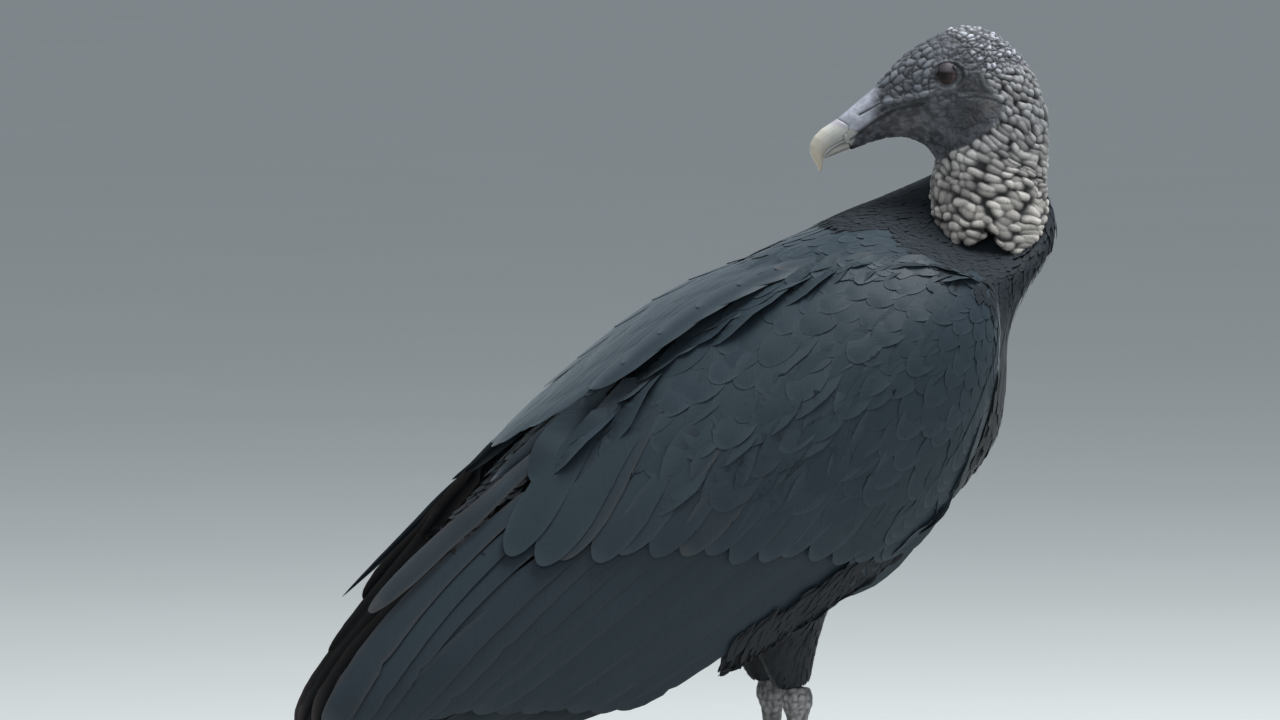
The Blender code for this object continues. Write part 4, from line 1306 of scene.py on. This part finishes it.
def lidded(h):
    """Draws the skin round each eye over the ball: a lid with a bead edge, then a groove and outer folds."""
    rho, a, b = eye_place(h)
    ball = EYE[1] + np.sqrt(np.maximum(EYE_RADIUS**2 - a**2 - b**2, 0))
    out = np.abs(h[:, 1])
    lid = ball + 0.25 + 0.55 * np.sin(math.pi * np.clip((rho - 1) / 0.62, 0, 1)) ** 0.8
    lid += 0.9 * bell(rho, 1.2, 0.2) * ramp(b, 0.5, 3)
    share = 1 - ramp(rho, 1.35, 1.7)
    shaped = out * (1 - share) + np.maximum(lid, out - 1.0) * share
    behind = 1 - ramp(a - 0.6 * b, -1, 3.5)
    folds = 0.35 * bell(rho, 1.9, 0.15) - 0.8 * bell(rho, 1.62, 0.12) - 0.2 * bell(rho, 2.2, 0.1)
    shaped += folds * behind
    shaped = np.where(rho < 0.97, np.minimum(out, ball - 2.2), shaped)
    new = h.copy()
    new[:, 1] = np.where((rho < 2.6) & (out > 8), np.where(h[:, 1] < 0, -shaped, shaped), h[:, 1])
    return new


def sculpted(points, faces):
    """Folds, pads, lids, nostrils and scutes on the skin, and its colours."""
    h = to_head(points)
    normal = vertex_normals(points, faces)
    head = np.flatnonzero((h[:, 0] > -40) & (h[:, 0] < 80) & (np.abs(h[:, 1]) < 36) & (h[:, 2] > 300))
    # painted shade: the skin below the plumage is near black, so it reads as shadow where it shows between
    # vanes
    points, colours = points.copy(), np.tile((0.007, 0.008, 0.010), (len(points), 1))
    move, colours[head] = head_relief(h[head])
    points[head] = from_head(lidded(h[head] + to_head(normal[head] + (NECK_X, 0, 0)) * move[:, None]))
    leg = np.flatnonzero(points[:, 2] < 97)
    p = points[leg]
    toe = p[:, 2] < 14
    on_shank = pads(p / (3.4, 3.0, 3.6), 23, 0.36, (0.5, 0.6, 0.3))
    on_toe = pads(p / 3.0, 29, 0.36, (0.5, 0.5, 0.4))
    scute, scute_id = (np.where(toe, *pair) for pair in zip(on_toe, on_shank))
    off_sole = ramp(p[:, 2], 0.8, 2.5)
    points[leg] = p + normal[leg] * (off_sole * 0.6 * (scute - 0.7))[:, None]
    # painted shade: the creases between scutes are darkest, rising to the scutes' tops
    colours[leg] = tone((0.050, 0.047, 0.045), (0.45, 0.43, 0.425), scute, 1.6, scute_id, 0.25)
    return points, colours


def coloured(name, points, faces, colours, material, slot, *replaced):
    colours = np.c_[colours, np.ones(len(points))]
    finished(name, points, [faces], material, replaced, "skin", colours)


def make_skin():
    points, _, faces = arrays_of(united(head_flesh(), body_flesh(), leg_flesh()))
    points, colours = sculpted(points, faces)
    coloured("skin", points, faces, colours, skin_material(), "neck_skin",
             "head", "neck_bare", "neck_feathered", "trunk", "thigh_left", "thigh_right", *LEGS)


# ---- eyes, bill, claws


def make_eyes():
    material = eye_material()
    for name, side in SIDES.items():
        points, faces = primitive(bmesh.ops.create_uvsphere, u_segments=64, v_segments=48, radius=EYE_RADIUS)
        look = unit(np.array([0.30, 1.0 * side, -0.06]))
        away = np.arccos(np.clip(points @ look / EYE_RADIUS, -1, 1))
        colours = np.tile((0.085, 0.062, 0.062), (len(points), 1))
        colours = blend(colours, (0.034, 0.022, 0.021), 1 - ramp(away, 0.60, 0.68))  # iris
        colours = blend(colours, (0.004, 0.004, 0.004), 1 - ramp(away, 0.28, 0.33))  # pupil
        points = points * (1 + 0.035 * (1 - ramp(away, 0.3, 0.72)))[:, None]
        # The upper lid's thin skin, drawn down over the ball's top third.
        lid = points[:, 2] - 1.05 - 0.10 * points[:, 0]
        over = ramp(lid, -0.12, 0.12)
        points = points * (1 + 0.055 * over)[:, None]
        colours = blend(colours, (0.055, 0.047, 0.056), over) * (1 - 0.8 * bell(lid, -0.05, 0.18))[:, None]
        points = from_head(points + EYE * (1, side, 1))
        coloured("eyeball_" + name, points, faces, colours, material, "eye", "eye_" + name)


def smooth_copy(node, voxel, rounds):
    points, edges, faces = remeshed([node_mesh(node)], voxel)
    return relaxed(points, edges, rounds, 0.45), faces


def make_bill():
    material = horn_material()
    for node in ("bill_upper", "bill_lower"):
        points, faces = smooth_copy(node, 0.4, 10)
        if node == "bill_upper":
            h = to_head(points)
            tip = ramp(h[:, 0], 74, 84) * 0.5 + ramp(h[:, 2], 360, 344) * 0.5
            rear = ramp(h[:, 2] - 362.1 - 0.31 * (h[:, 0] - 62.5), -0.8, 1.8)
            colours = blend(np.array((0.62, 0.62, 0.58)), (0.78, 0.67, 0.50), tip)
            colours = blend(colours, (0.50, 0.48, 0.53), rear)
        else:
            colours = np.tile((0.40, 0.40, 0.37), (len(points), 1))
        coloured(node + "_horn", points, faces, colours, material, "horn", node)


def make_claws():
    material = claw_material()
    for side, toe in itertools.product(SIDES, ("inner_toe", "middle_toe", "outer_toe", "hind_toe")):
        node = f"claw_{toe}_{side}"
        points, faces = smooth_copy(node, 0.45, 6)
        points[:, 2] = np.maximum(points[:, 2], 0.05)
        finished(f"{node}_horn", points, [faces], material, [node])


# ---- studio


def aimed(made, place, at):
    made.location = place
    made.rotation_mode = "QUATERNION"
    made.rotation_quaternion = (Vector(place) - Vector(at)).to_track_quat("Z", "Y")
    return made


def area_light(name, place, at, size, power, colour):
    data = bpy.data.lights.new(name, "AREA")
    data.shape, data.size, data.energy, data.color = "DISK", size, power, colour
    aimed(placed(name, data), place, at)


def make_studio():
    corners = 60.0 * np.array([(-1, -1, 0), (1, -1, 0), (1, 1, 0), (-1, 1, 0)])
    floor = placed("floor", new_mesh("floor", corners, np.array([(0, 1, 2, 3)])))
    s = Shader("pale_floor", 0.9, Specular_IOR_Level=0.1)
    floor.data.materials.append(s.finish(s.mix(s.noise(3.0), (0.60, 0.62, 0.60), (0.64, 0.655, 0.64))))
    world = bpy.data.worlds.new("studio")
    world.use_nodes = True
    background = world.node_tree.nodes["Background"]
    background.inputs["Color"].default_value = (0.78, 0.86, 0.95, 1)
    background.inputs["Strength"].default_value = 0.42
    bpy.context.scene.world = world
    bird = (SHIFT[0] * MM - 0.02, 0, 0.25)
    area_light("overhead", (0.7, -0.3, 2.5), bird, 1.5, 85, (0.95, 0.98, 1.0))
    area_light("front", (-1.2, -2.6, 1.2), bird, 1.8, 9, (1.0, 0.98, 0.95))
    bpy.context.scene.view_settings.view_transform = "Standard"


def make_camera():
    """A long lens level with the body, framed as the photograph is, without the feet and the tail's end."""
    azimuth, elevation, distance, wide = math.radians(-20), math.radians(3), 8.0, 0.6272
    right = Vector((math.cos(azimuth), math.sin(azimuth), 0))
    back = Vector((math.sin(azimuth) * math.cos(elevation), -math.cos(azimuth) * math.cos(elevation),
                   math.sin(elevation)))
    aim = right * -0.0207 + Vector((0, 0, 0.253))
    data = bpy.data.cameras.new("camera")
    data.sensor_width = 36
    data.lens = data.sensor_width * distance / wide
    data.clip_end = 300
    bpy.context.scene.camera = aimed(placed("camera", data), aim + back * distance, aim)


def main():
    make_skin()
    make_eyes()
    make_bill()
    make_claws()
    plumage = plumage_material("plumage_vanes", (0.020, 0.031, 0.040), (0.046, 0.064, 0.076), 0.5, 0.16)
    breast = plumage_material("breast_vanes", (0.016, 0.018, 0.021), (0.034, 0.036, 0.040), 0.6, 0.08)
    velvet = plumage_material("neck_velvet", (0.012, 0.016, 0.020), (0.024, 0.030, 0.037), 0.7, 0.10)
    mantle = plumage_material("mantle_vanes", (0.020, 0.031, 0.040), (0.046, 0.064, 0.076), 0.45, 0.40)
    guide = smooth_guide()
    for name, side in SIDES.items():
        make_wing(name, side, guide, plumage)
        make_cape(name, side, mantle)
    make_tail(plumage)
    make_body_coat(guide, mantle, breast, velvet)
    make_studio()
    make_camera()


main()
